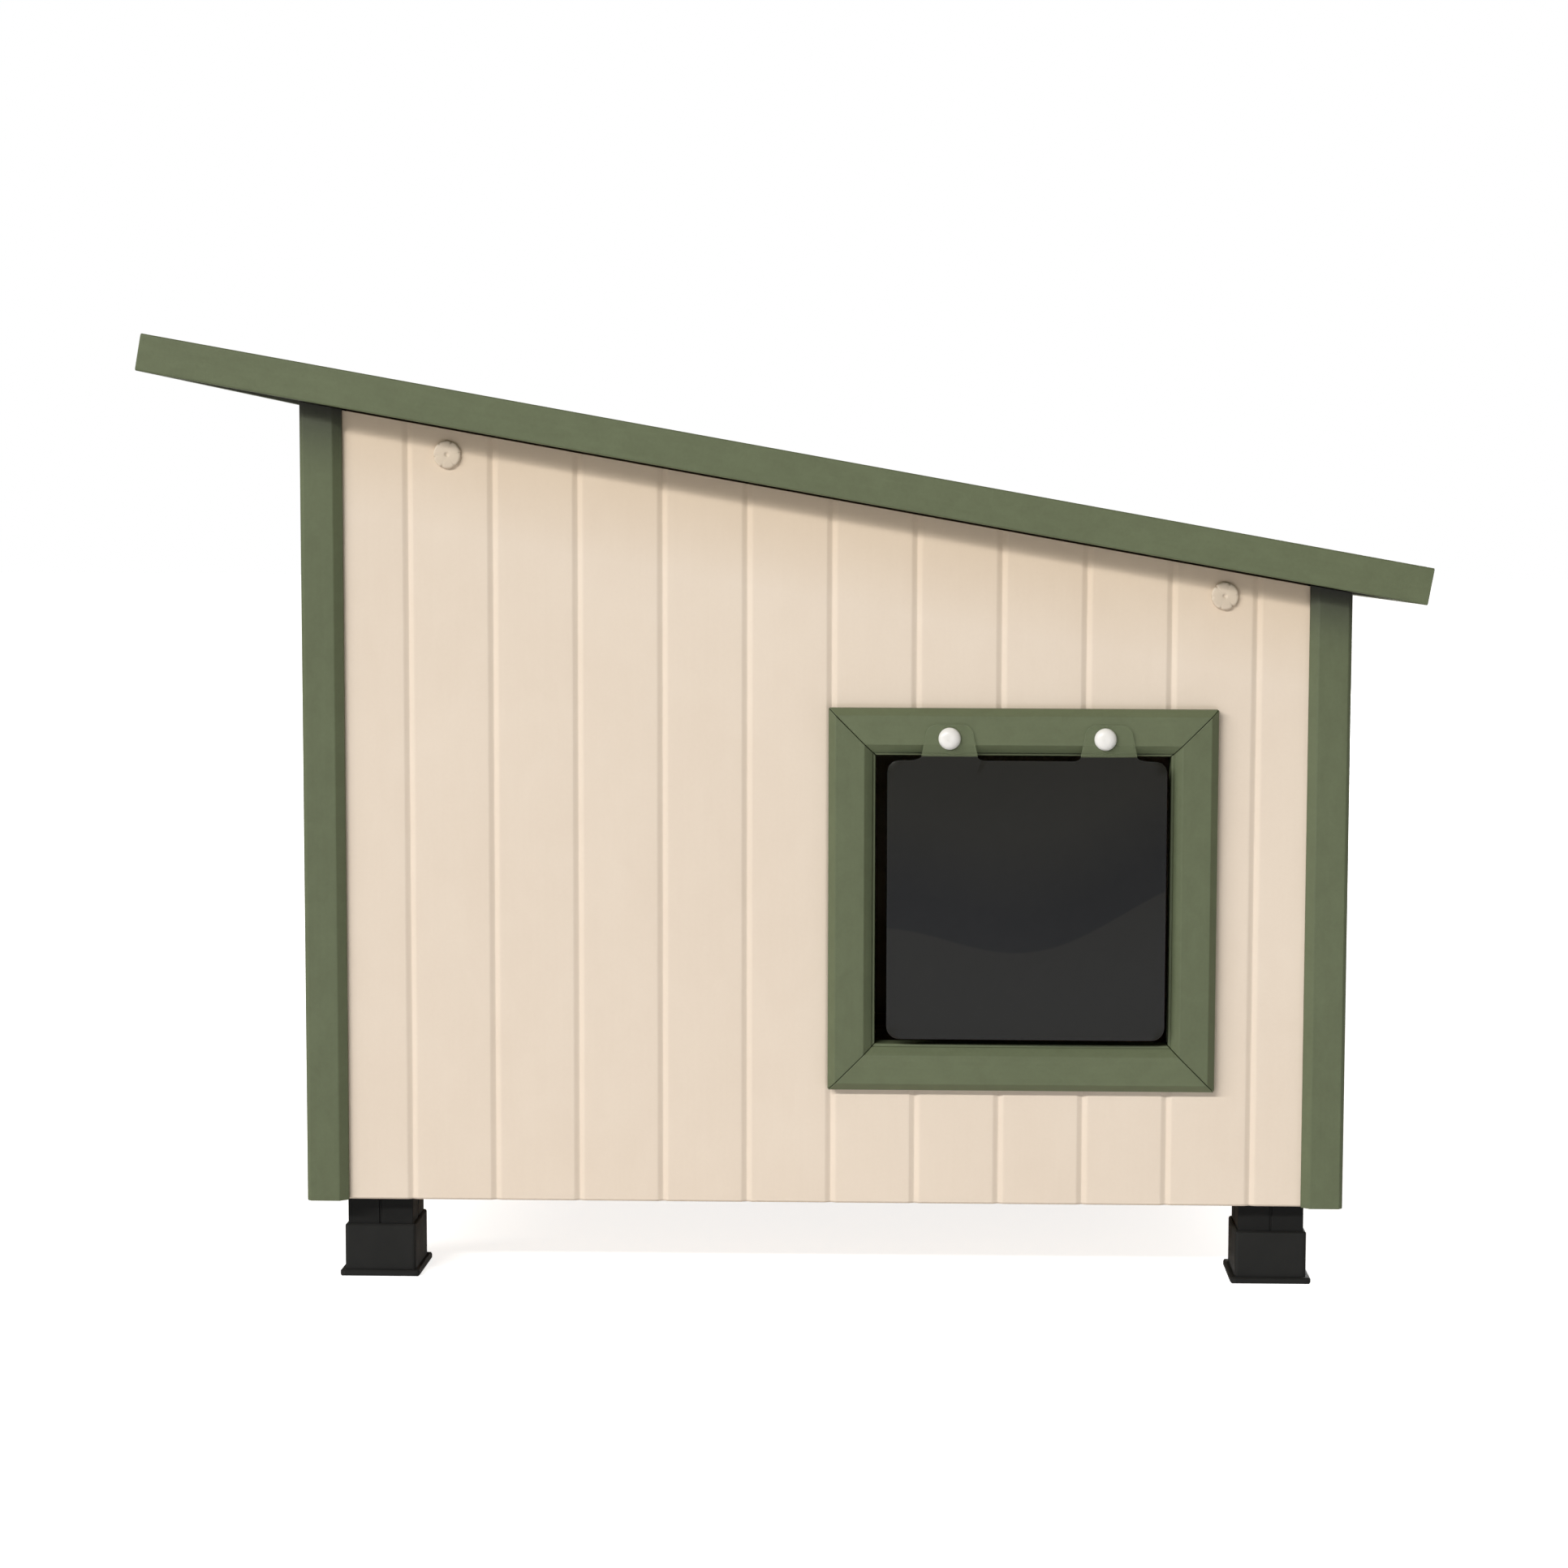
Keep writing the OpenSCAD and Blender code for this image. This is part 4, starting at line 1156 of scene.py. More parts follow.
@dataclass
class WallBoards:
    """Four boards with soft grooves at an even spacing, set between the posts."""

    slope: Slope
    groove_pitch: float = 46.0
    groove_half_width: float = 2.9
    groove_depth: float = 1.25
    groove_floor: float = 0.93
    softness: float = 0.22
    stations: int = 8
    first_front: float = 57.5
    post_reach: float = 16.7
    tongue_inset: float = 3.2
    bottom_edge: float = 1.0
    edge_fall: float = 1.0
    column_gap: float = 0.02

    def build(self) -> None:
        """Makes the four boards, with the side boards' grooves centred on them."""
        front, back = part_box("front_panel"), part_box("back_panel")
        pitch = self.groove_pitch
        count = round((front[1].x - front[0].x) / MM / pitch) - 1
        first = front[0].x + (self.first_front - self.post_reach) * MM
        side_count = int(((back[1].y - front[0].y) / MM - pitch) / pitch)
        side_first = -(side_count - 1) / 2 * pitch * MM
        door = self.doorway()
        for board in (
            Board("front_grooved_boards", "front_panel", Vector((0, 1, 0)), first, count, door),
            Board("back_grooved_boards", "back_panel", Vector((0, -1, 0)), first, count),
            Board(
                "high_side_grooved_boards", "high_side_panel", Vector((1, 0, 0)), side_first, side_count
            ),
            Board(
                "low_side_grooved_boards", "low_side_panel", Vector((-1, 0, 0)), side_first, side_count
            ),
        ):
            self.make(board)

    def doorway(self) -> Box:
        """Works out the doorway's cut in the front board, just outside the moulding's tongue.

        Returns:
            The cut's lowest and highest corner.
        """
        left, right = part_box("door_high_trim"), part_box("door_low_trim")
        top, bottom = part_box("door_head_trim"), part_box("door_sill_trim")
        inset = left[1].x - left[0].x - self.tongue_inset * MM
        return (
            Vector((left[0].x + inset, 0, bottom[0].z + inset)),
            Vector((right[1].x - inset, 0, top[1].z - inset)),
        )

    def top(self, x: float) -> float:
        """Height of the boards' top edge at an X."""
        low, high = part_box("front_panel")
        return high.z - (x - low.x) * self.slope.fall

    def make(self, board: Board) -> None:
        """Makes one board, flat at first, and cuts its grooves by a rule.

        Args:
            board: what is made.
        """
        piece = make_object(board.name, self.flat(board))
        rule = Rule(board.name + "_grooves")
        pitch = rule.size("Groove spacing", self.groove_pitch * MM)
        half = rule.size("Groove half width", self.groove_half_width * MM)
        deep = rule.size("Groove depth", self.groove_depth * MM)
        number = rule.size("Grooves", board.grooves, "NodeSocketInt")
        way = rule.size("Inward", board.inward, "NodeSocketVector")
        soft = rule.size("Softness", self.softness)
        half_pitch = rule.math("DIVIDE", pitch, 2.0)
        start = rule.math("MULTIPLY", half_pitch, -1.0)
        end = rule.math("MULTIPLY", rule.math("SUBTRACT", number, 0.5), pitch)
        kept = rule.math("MINIMUM", end, rule.math("MAXIMUM", start, rule.attribute("along")))
        away = rule.math("DIVIDE", rule.math("PINGPONG", kept, half_pitch), half)
        flank = rule.math("SMOOTH_MAX", rule.math("SUBTRACT", 1.0, away), 0.0, soft)
        share = rule.math("SMOOTH_MIN", flank, self.groove_floor, soft)
        cut = rule.math("MULTIPLY", rule.math("MULTIPLY", share, deep), rule.attribute("face"))
        offset = rule.add("ShaderNodeVectorMath", {"Vector": way, "Scale": cut}, operation="SCALE")
        moved = rule.add(
            "GeometryNodeSetPosition",
            {"Geometry": rule.entry.outputs["Geometry"], "Offset": offset.outputs["Vector"]},
        )
        rule.run(piece, moved.outputs["Geometry"], BOARD_PAINT)
        smooth(piece)
        settle(piece, BOARD_PAINT, board.node)

    def places(self, board: Board) -> list[float]:
        """Works out where the board's columns of points stand.

        Args:
            board: what is made.

        Returns:
            The places of its ends, the doorway's sides and each groove's points, in order.
        """
        low, high = (corner[board.axis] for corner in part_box(board.node))
        sides = board.door_sides
        half = self.groove_half_width * (1 + self.softness) * MM
        found = [low, high, *sides]
        for groove in range(board.grooves):
            centre = board.first_groove + groove * self.groove_pitch * MM
            for step in range(-self.stations, self.stations + 1):
                place = centre + half * step / self.stations
                clear = all(abs(place - side) > self.column_gap * MM for side in sides)
                if low < place < high and clear:
                    found.append(place)
        return sorted(found)

    def column(self, bm: Shape, board: Board, place: float, inner: bool) -> list[Vert]:
        """Makes one upright row of points, on the board's outer face or on its inner one.

        The outer face has a small slope along its bottom. The inner one has none, so its lowest
        point stands in twice.

        Args:
            bm: the shape that they go into.
            board: what is made.
            place: where the row stands along the board.
            inner: whether it is on the inner face.

        Returns:
            The points, from the bottom up.
        """
        across = 1 - board.axis
        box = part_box(board.node)
        outer = box[0][across] if board.inward[across] > 0 else box[1][across]
        depth = box[1][across] - box[0][across] if inner else 0.0
        top = self.top(outer + board.inward.x * depth if board.axis else place)
        heights = [box[0].z, box[0].z + self.bottom_edge * MM, *board.door_levels, top]
        verts: list[Vert] = []
        for number, height in enumerate(heights):
            if inner and number == 1:
                verts.append(verts[0])
                continue
            sunk = depth + (self.edge_fall * MM if number == 0 and not inner else 0.0)
            point = Vector((0, 0, height))
            point[board.axis] = place
            point[across] = outer + board.inward[across] * sunk
            vert = bm.verts.new(point)
            vert[bm.verts.layers.float["along"]] = place - board.first_groove
            vert[bm.verts.layers.float["face"]] = 0.0 if inner else 1.0
            verts.append(vert)
        return verts

    def flat(self, board: Board) -> Shape:
        """Makes the board before its grooves are cut.

        Args:
            board: what is made.

        Returns:
            The shape, in metres, with each point's way along the board and its face.
        """
        bm = bmesh.new()
        for layer in ("along", "face"):
            bm.verts.layers.float.new(layer)
        columns = self.places(board)
        faces = [[self.column(bm, board, place, inner) for place in columns] for inner in (False, True)]
        for side, grid in enumerate(faces):
            for place, here, there in zip(columns, grid, grid[1:]):
                in_door = board.door and board.door[0].x <= place < board.door[1].x - JOIN_DISTANCE
                for row in range(side, len(here) - 1):
                    if not (in_door and row == DOOR_ROW):
                        bm.faces.new((here[row], there[row], there[row + 1], here[row + 1]))
        pairs = {}
        for outer_column, inner_column in zip(*faces):
            pairs.update(zip(outer_column, inner_column))
        rims = [e for e in bm.edges if e.is_boundary and e.verts[0] in pairs and e.verts[1] in pairs]
        for edge in rims:
            first, second = edge.verts
            bm.faces.new(dict.fromkeys((first, second, pairs[second], pairs[first])))
        bmesh.ops.recalc_face_normals(bm, faces=bm.faces)
        return bm


@dataclass
class CornerPosts:
    """Four slotted posts with sloping inner edges and softened arrises."""

    arris: float = 0.5

    def build(self) -> None:
        """Rounds the arrises of the four posts."""
        for place in CORNERS:
            softened(place + "_post", place + "_corner_post", POST_PAINT, self.arris)


@dataclass
class DoorMoulding:
    """Four mitred members round the doorway, with a sloping inner edge and a lip."""

    arris: float = 0.4

    def build(self) -> None:
        """Rounds the arrises of the four members."""
        for side, finish in (
            ("head", ACROSS_PAINT), ("sill", ACROSS_PAINT), ("high", POST_PAINT), ("low", POST_PAINT)
        ):
            softened(f"door_{side}_trim", f"doorway_{side}_moulding", finish, self.arris)


@dataclass
class Feet:
    """Four black legs and the shoes that they stand in."""

    leg_arris: float = 0.6
    shoe_arris: float = 0.7
    shoe_steps: int = 3
    shoe_shortest: float = 1.2

    def build(self) -> None:
        """Rounds the edges of legs and shoes."""
        for place in CORNERS:
            softened(place + "_leg", place + "_moulded_leg", LEG_PLASTIC, self.leg_arris)
            softened(
                place + "_shoe", place + "_moulded_shoe", SHOE_PLASTIC, self.shoe_arris,
                self.shoe_steps, self.shoe_shortest,
            )


@dataclass
class ClearFlap:
    """One vinyl sheet: a panel that swings in the doorway and two tabs pinned above it."""

    panel_corner: float = 7.0
    top_corner: float = 6.0
    corner_steps: int = 8
    top_corner_steps: int = 3
    flare_rise: float = 2.4
    flare_out: float = 8.0
    flare_in: float = 4.0
    flare_steps: int = 6
    stand_off: float = 0.15
    tab_half: float = 16.0
    tab_ease: float = 0.8
    tab_shift: Span = (2.0, 0.0)
    tab_corner: float = 6.0
    tab_lean: float = 4.0
    tab_taper: float = 2.3
    bend_reach: float = 1.2
    bend_step: float = 0.3
    cell: float = 9.0
    ripple: float = 0.35
    ripple_start: float = 8.0
    ripple_full: float = 60.0
    ripple_across: float = 27.0
    ripple_down: float = 41.0
    ripple_turn: float = 0.6
    rim: float = 0.3
    flat_share: float = 0.97
    smoke_end: float = 1.1
    fade: float = 0.5

    def build(self) -> None:
        """Cuts the sheet to its outline, gives it thickness and lets it bend at the tabs."""
        axis = Vector(joint_named("flap_swing")["pos_m"])
        reach = Vector((0, 0, self.bend_reach * MM))
        clear = axis.z + self.smoke_end * MM
        bm = self.sheet(axis, clear)
        cut_edge = bm.faces.layers.float.new("rim")
        for face in bm.faces:
            face[cut_edge] = 1.0 if abs(face.normal.y) < self.flat_share else 0.0
        tab = bm.verts.layers.float.new("tab")
        for vert in bm.verts:
            vert[tab] = min(1.0, max(0.0, (vert.co.z - clear) / (self.fade * MM)))
            vert.co.y += self.wave(vert.co, axis) * MM
        piece = make_object("clear_door_flap", bm)
        smooth(piece)
        piece.data.materials.append(CLEAR_SHEET.material())
        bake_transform(piece, Body.CABIN.value, Body.FLAP.value, start=axis + reach, end=axis - reach)
        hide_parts("flap_panel", "flap_tabs")
        LOG.info("%s: %d faces, bends at %.1f mm", piece.name, len(piece.data.polygons), axis.z / MM)

    def sheet(self, axis: Vector, clear: float) -> Shape:
        """Makes the sheet, flat, with rows of points where it bends and changes colour.

        Args:
            axis: a point on the line that the flap swings about.
            clear: the height where the smoke ends, in metres.

        Returns:
            The shape, in metres, with its cut edge rounded.
        """
        panel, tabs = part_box("flap_panel"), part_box("flap_tabs")
        front = panel[0].y - self.stand_off * MM
        bm = bmesh.new()
        bm.faces.new([bm.verts.new((x * MM, front, z * MM)) for x, z in self.outline(axis)])
        bm.normal_update()
        bmesh.ops.triangulate(bm, faces=bm.faces, ngon_method="EAR_CLIP")
        up, right = Vector((0, 0, 1)), Vector((1, 0, 0))
        reach, fade = self.bend_reach * MM, self.fade * MM
        self.cut(bm, up, panel[0].z, tabs[1].z, self.cell * MM)
        self.cut(bm, right, panel[0].x, panel[1].x, self.cell * MM)
        self.cut(bm, up, axis.z - reach, axis.z + reach, self.bend_step * MM)
        self.cut(bm, up, clear, clear + 2 * fade, fade)
        doubled = bmesh.ops.extrude_face_region(bm, geom=list(bm.faces))
        back = [v for v in doubled["geom"] if isinstance(v, Vert)]
        bmesh.ops.translate(bm, verts=back, vec=Vector((0, panel[1].y - panel[0].y, 0)))
        bmesh.ops.recalc_face_normals(bm, faces=bm.faces)
        rim = [e for e in bm.edges if e.is_manifold and e.calc_face_angle() > SHEET_EDGE_ANGLE]
        bmesh.ops.bevel(
            bm, geom=rim, offset=self.rim * MM, offset_type="OFFSET", segments=2, profile=0.5,
            affect="EDGES", clamp_overlap=True,
        )
        bm.normal_update()
        return bm

    def wave(self, point: Vector, axis: Vector) -> float:
        """How far the hanging sheet lies off its flat.

        Args:
            point: where on the sheet, in metres.
            axis: a point on the line that the flap swings about.

        Returns:
            The distance in millimetres.
        """
        drop = max(0.0, (axis.z - point.z) / MM - self.ripple_start)
        fade = min(1.0, drop / self.ripple_full)
        across = (point.x - axis.x) / MM / self.ripple_across + self.ripple_turn
        return self.ripple * fade * math.sin(across) * math.cos(drop / self.ripple_down)

    def cut(self, bm: Shape, normal: Vector, low: float, high: float, step: float) -> None:
        """Cuts the sheet into strips at even steps.

        Args:
            bm: the sheet.
            normal: the way from one cut to the next.
            low: where the steps start, in metres.
            high: where they end.
            step: the strips' width.
        """
        for number in range(1, round((high - low) / step)):
            bmesh.ops.bisect_plane(
                bm, geom=[*bm.verts, *bm.edges, *bm.faces], plane_co=normal * (low + number * step),
                plane_no=normal, dist=JOIN_DISTANCE,
            )

    def flare(self, foot: float, top: float, width: float) -> list[tuple[float, float]]:
        """Draws the hollow curve from the panel's top edge up to a tab's side.

        Args:
            foot: the tab's side, in millimetres along X.
            top: the height of the panel's top edge.
            width: how far the curve reaches along the edge, negative towards lower X.

        Returns:
            Its points in X and Z, from the panel's edge to the tab.
        """
        angles = (math.radians(90 * i / self.flare_steps) for i in range(self.flare_steps + 1))
        rise = self.flare_rise
        return [(foot + width * (1 - math.sin(a)), top + rise * (1 - math.cos(a))) for a in angles]

    def outline(self, axis: Vector) -> list[tuple[float, float]]:
        """Draws the sheet's outline.

        Args:
            axis: a point on the line that the flap swings about.

        Returns:
            Its points in X and Z, in millimetres, anticlockwise from the lower left.
        """
        panel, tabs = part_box("flap_panel"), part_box("flap_tabs")
        left, right, low = panel[0].x / MM, panel[1].x / MM, panel[0].z / MM
        top, crest = axis.z / MM - self.bend_reach, tabs[1].z / MM
        r, t, c = self.panel_corner, self.top_corner, self.tab_corner
        tab_middles = (
            tabs[1].x / MM - self.tab_half + self.tab_shift[0],
            tabs[0].x / MM + self.tab_half + self.tab_shift[1],
        )
        half = self.tab_half - self.tab_ease
        inset = half - self.tab_taper - c
        flares = ((self.flare_out, self.flare_in), (self.flare_in, self.flare_out))
        round_steps, top_steps, lean = self.corner_steps, self.top_corner_steps, self.tab_lean
        points = [
            *arc((left + r, low + r), r, 180, 270, round_steps),
            *arc((right - r, low + r), r, 270, 360, round_steps),
            *arc((right - t, top - t), t, 0, 90, top_steps),
        ]
        for centre, (after, before) in zip(tab_middles, flares):
            points += self.flare(centre + half, top, after)
            points += arc((centre + inset, crest - c), c, lean, 90, round_steps)
            points += arc((centre - inset, crest - c), c, 90, 180 - lean, round_steps)
            points += self.flare(centre - half, top, -before)[::-1]
        points += arc((left + t, top - t), t, 90, 180, top_steps)
        return points


@dataclass(frozen=True)
class Field:
    """A stretch of the roof: its ends down the slope and its front and back, in metres."""

    start: float
    end: float
    front: float
    back: float

    def inset(self, gap: float) -> Field:
        """The stretch drawn in all round by a gap in metres."""
        return Field(self.start + gap, self.end - gap, self.front + gap, self.back - gap)

    def at(self, share: float) -> float:
        """The run at a share of the way down the slope."""
        return self.start + share * (self.end - self.start)


@dataclass
class RoofCover:
    """Edge boards, felt with one lap and its clout nails, and the boards below."""

    slope: Slope
    arris: float = 0.45
    felt_sunk: float = 0.75
    felt_thick: float = 0.7
    felt_cells: tuple[int, int] = (110, 70)
    edge_gap: float = 0.4
    lap_share: float = 0.56
    lap_width: float = 60.0
    lap_ramp: float = 18.0
    lap_edge: float = 0.15
    lap_clear: float = 2.0
    swell: float = 0.06
    swell_long: Span = (83.0, 61.0)
    swell_short: Span = (31.0, 47.0)
    swell_short_share: float = 0.6
    nail_spacing: float = 58.0
    nail_inset: float = 11.0
    nail_head: float = 4.2
    nail_outline: Outline = (
        (0.0, 0.45), (0.5, 0.43), (0.85, 0.3), (1.0, 0.1), (0.95, -0.15), (0.0, -0.6)
    )
    nail_sides: int = 14
    nail_spin: float = 37.0

    def build(self) -> None:
        """Makes the roof's pieces."""
        for node, name, finish in (
            ("front_fascia", "roof_front_edge_board", SLOPE_PAINT),
            ("back_fascia", "roof_back_edge_board", SLOPE_PAINT),
            ("high_fascia", "roof_high_edge_board", DEEP_PAINT),
            ("low_fascia", "roof_low_edge_board", DEEP_PAINT),
            ("roof_liner", "roof_lining_board", SHADED_LINING_PAINT),
            ("roof_top_board", "roof_deck_board", BARE_ALONG),
            ("roof_rafters", "roof_rafter_bars", BARE_DEEP),
        ):
            softened(node, name, finish, self.arris)
        low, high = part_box("roof_felt")
        origin = Vector((low.x, 0, high.z)) - self.slope.up * self.felt_sunk * MM
        length = (high.x - low.x) / self.slope.along.x - self.felt_thick * MM
        field = Field(0.0, length, low.y, high.y)
        self.felt(field.inset(self.edge_gap * MM), origin)
        self.nails(field, origin)

    def lift(self, run: float, y: float, lap_end: float) -> float:
        """How high the felt's top lies above its lower layer.

        Args:
            run: how far down the slope, in metres.
            y: the place across the slope, in metres.
            lap_end: the run where the upper strip ends.

        Returns:
            The height in millimetres.
        """
        long_run, long_y = (size * MM for size in self.swell_long)
        short_run, short_y = (size * MM for size in self.swell_short)
        wave = math.sin(run / long_run) * math.cos(y / long_y)
        wave += self.swell_short_share * math.sin(run / short_run + y / short_y)
        start = lap_end - self.lap_width * MM
        rise = 0.0
        if start < run <= lap_end:
            rise = min(1.0, (run - start) / (self.lap_ramp * MM)) * self.felt_thick
        return rise + self.swell * wave

    def felt(self, field: Field, origin: Vector) -> None:
        """Lays the felt in two strips, the upper one lapped over the lower.

        Args:
            field: the stretch that it covers.
            origin: the slope's origin.
        """
        lap_end = field.at(self.lap_share)
        run_cells, side_cells = self.felt_cells
        runs = [field.at(i / run_cells) for i in range(run_cells + 1)]
        runs = [run for run in runs if abs(run - lap_end) > self.lap_clear * MM]
        runs = sorted([*runs, lap_end, lap_end + self.lap_edge * MM])
        width = field.back - field.front
        sides = [field.front + width * i / side_cells for i in range(side_cells + 1)]
        bm = bmesh.new()

        def layer(rise: Callable[[float, float], float]) -> list[list[Vert]]:
            """Makes one grid of points.

            Args:
                rise: gives the height in millimetres at a run and a Y.

            Returns:
                The points, one row for each run.
            """
            return [
                [bm.verts.new(self.slope.point(run, y, rise(run, y) * MM, origin)) for y in sides]
                for run in runs
            ]

        top = layer(lambda run, y: self.lift(run, y, lap_end))
        foot = layer(lambda run, y: -self.felt_thick)
        for grid in (top, foot):
            for first, second in zip(grid, grid[1:]):
                for i in range(side_cells):
                    bm.faces.new((first[i], second[i], second[i + 1], first[i + 1]))
        last_run, last_side = len(runs) - 1, side_cells
        loop = [(i, 0) for i in range(last_run + 1)]
        loop += [(last_run, j) for j in range(1, last_side + 1)]
        loop += [(i, last_side) for i in range(last_run - 1, -1, -1)]
        loop += [(0, j) for j in range(last_side - 1, 0, -1)]
        for (a, b), (c, d) in zip(loop, loop[1:] + loop[:1]):
            bm.faces.new((top[a][b], top[c][d], foot[c][d], foot[a][b]))
        bmesh.ops.recalc_face_normals(bm, faces=bm.faces)
        piece = make_object("roof_mineral_felt", bm)
        smooth(piece)
        settle(piece, MINERAL_FELT, "roof_felt")

    def nails(self, field: Field, origin: Vector) -> None:
        """Drives clout nails round the felt's edges and along its lap.

        Args:
            field: the stretch inside the edge boards.
            origin: the slope's origin.
        """
        inset = self.nail_inset * MM
        lap_end = field.at(self.lap_share)
        line = field.inset(inset)
        corners = [
            (line.start, line.front), (line.end, line.front), (line.end, line.back),
            (line.start, line.back),
        ]
        rows = list(zip(corners, corners[1:] + corners[:1]))
        rows.append(((lap_end - inset, line.front + inset), (lap_end - inset, line.back - inset)))
        spots = []
        for first, second in rows:
            count = round(math.dist(first, second) / (self.nail_spacing * MM))
            for i in range(count):
                share = (i + 0.5) / count
                run, y = (a + (b - a) * share for a, b in zip(first, second))
                rise = self.lift(run, y, lap_end) * MM
                spots.append((self.slope.point(run, y, rise, origin), self.slope.up))
        profile = [(share * self.nail_head, height) for share, height in self.nail_outline]
        nail = turned(profile, self.nail_sides)
        piece = repeated("felt_clout_nails", nail, spots, ZINC, self.nail_spin)
        smooth(piece)
        settle(piece, ZINC, body=Body.ROOF.value)


@dataclass
class InnerFrame:
    """Top rails, bearers, floor board and brackets, seen when the roof is open."""

    arris: float = 0.6
    bracket_arris: float = 0.3

    def build(self) -> None:
        """Rounds the arrises of the timber and the brackets."""
        for node, finish in (
            ("front_top_rail", BARE_ALONG), ("back_top_rail", BARE_ALONG), ("high_top_rail", BARE_DEEP),
            ("low_top_rail", BARE_DEEP), ("front_bearer", BARE_ALONG), ("back_bearer", BARE_ALONG),
            ("high_bearer", BARE_DEEP), ("low_bearer", BARE_DEEP), ("floor_board", BARE_ALONG),
        ):
            softened(node, node + "_timber", finish, self.arris)
        softened("corner_brackets", "angle_brackets", ZINC, self.bracket_arris)


@dataclass
class RoofHinges:
    """Two hinges at the roof's back edge: bases, leaves and pins."""

    arris: float = 0.3
    shortest: float = 3.0

    def build(self) -> None:
        """Rounds the hinge plates and dresses the pins."""
        for side in ("high", "low"):
            for part, name in (("base", "base_block"), ("leaf", "leaf_plate")):
                softened(
                    f"{side}_hinge_{part}", f"{side}_hinge_{name}", ZINC, self.arris,
                    shortest=self.shortest,
                )
        dress("hinge_pins", ZINC)


def fit(
    node: str,
    name: str,
    finish: Finish,
    shape: Shape,
    solids: Sequence[Solid],
    spin: float = 0.0,
    angle: float = EDGE_ANGLE,
) -> None:
    """Puts one turned shape in the place of each solid of a CAD node.

    Args:
        node: the node that the new piece stands for.
        name: the new piece's name.
        finish: its finish.
        shape: the shape, with the solid's head end at Z zero; it is freed.
        solids: the node's solids.
        spin: turn of each copy from the one before, in degrees.
        angle: the angle past which its faces meet at a crease, in radians.
    """
    piece = repeated(name, shape, [(solid.head, solid.aim) for solid in solids], finish, spin)
    smooth(piece, angle)
    settle(piece, finish, node)


@dataclass
class RailBolts:
    """Round plastic bolts, each head with a dimple, a soft rim and notches, and their nuts."""

    radius: float = 7.5
    height: float = 4.0
    sink: float = 1.6
    shank: float = 4.0
    tip: float = 0.6
    dimple: Outline = ((0.0, -0.8), (0.5, -0.75), (1.0, -0.4), (1.35, -0.07), (1.7, 0.0), (3.4, 0.0))
    rim: Outline = (
        (1.6, -0.02), (1.1, -0.06), (0.75, -0.16), (0.45, -0.33), (0.2, -0.6), (0.05, -0.95),
        (0.0, -1.4), (0.0, -2.0),
    )
    notch_angles: tuple[float, ...] = (8.0, 71.0, 124.0, 190.0, 247.0, 305.0)
    notch_depth: float = 1.15
    notch_inward: float = 0.5
    notch_width: float = 0.07
    notch_reach: float = 1.8
    notch_rise: float = 2.0
    notch_size: float = 0.8
    notch_change: float = 0.3
    notch_step: float = 2.1
    sides: int = 96
    spin: float = 31.0
    nut_arris: float = 0.4

    def build(self) -> None:
        """Turns the bolts."""
        solids = turned_solids("rail_bolts")
        end = -solids[0].length / MM
        head = [*self.dimple, *((self.radius - inset, drop) for inset, drop in self.rim)]
        profile = [(radius, height - self.sink) for radius, height in head]
        profile += [(self.radius, -self.height), (self.shank, -self.height)]
        profile += [(self.shank, end + self.tip), (self.shank - self.tip, end), (0.0, end)]
        bolt = turned(profile, self.sides, self.notched)
        fit(
            "rail_bolts", "notched_rail_bolts", BOLT_PLASTIC, bolt, solids, self.spin, TURNED_EDGE_ANGLE
        )

    def nuts(self) -> None:
        """Rounds the edges of the round nuts."""
        softened("rail_nuts", "round_rail_nuts", BOLT_PLASTIC, self.nut_arris)

    def notched(self, radius: float, height: float, angle: float) -> tuple[float, float]:
        """Dents the rim at each notch, most at its upper edge, and leaves its foot round.

        Args:
            radius: a point's radius in millimetres.
            height: its height.
            angle: its angle in radians.

        Returns:
            Its new radius and height.
        """
        start = self.radius - self.notch_reach
        if radius <= start:
            return radius, height
        cut = 0.0
        for number, notch in enumerate(self.notch_angles):
            off = (angle - math.radians(notch) + math.pi) % math.tau - math.pi
            size = self.notch_size + self.notch_change * math.sin(number * self.notch_step)
            cut = max(cut, size * math.exp(-((off / self.notch_width) ** 2)))
        depth = -height - self.sink
        share = (radius - start) / self.notch_reach * max(0.0, 1 - depth / self.notch_rise)
        dent = self.notch_depth * cut * share
        return radius - self.notch_inward * dent, height - dent


@dataclass
class PushPins:
    """White domed push pins through the flap's tabs, and the caps on their inner ends."""

    dome: Outline = (
        (0.0, -0.12), (0.9, -0.08), (1.8, 0.0), (2.8, -0.12), (3.9, -0.5), (4.8, -1.05), (5.5, -1.75),
        (5.88, -2.4),
    )
    rim_height: float = 2.9
    rim_ease: float = 0.1
    head_height: float = 3.4
    shank: float = 2.0
    sides: int = 48
    cap_arris: float = 0.5

    def build(self) -> None:
        """Turns the pins."""
        solids = turned_solids("flap_pins")
        end = -solids[0].length / MM
        radius = solids[0].radius / MM
        profile = [*self.dome, (radius, -self.rim_height), (radius - self.rim_ease, -self.head_height)]
        profile += [(self.shank, -self.head_height), (self.shank, end), (0.0, end)]
        pin = turned(profile, self.sides)
        fit("flap_pins", "white_push_pins", PIN_PLASTIC, pin, solids, angle=TURNED_EDGE_ANGLE)

    def caps(self) -> None:
        """Rounds the edges of the caps."""
        softened("flap_pin_caps", "push_pin_caps", PIN_PLASTIC, self.cap_arris)


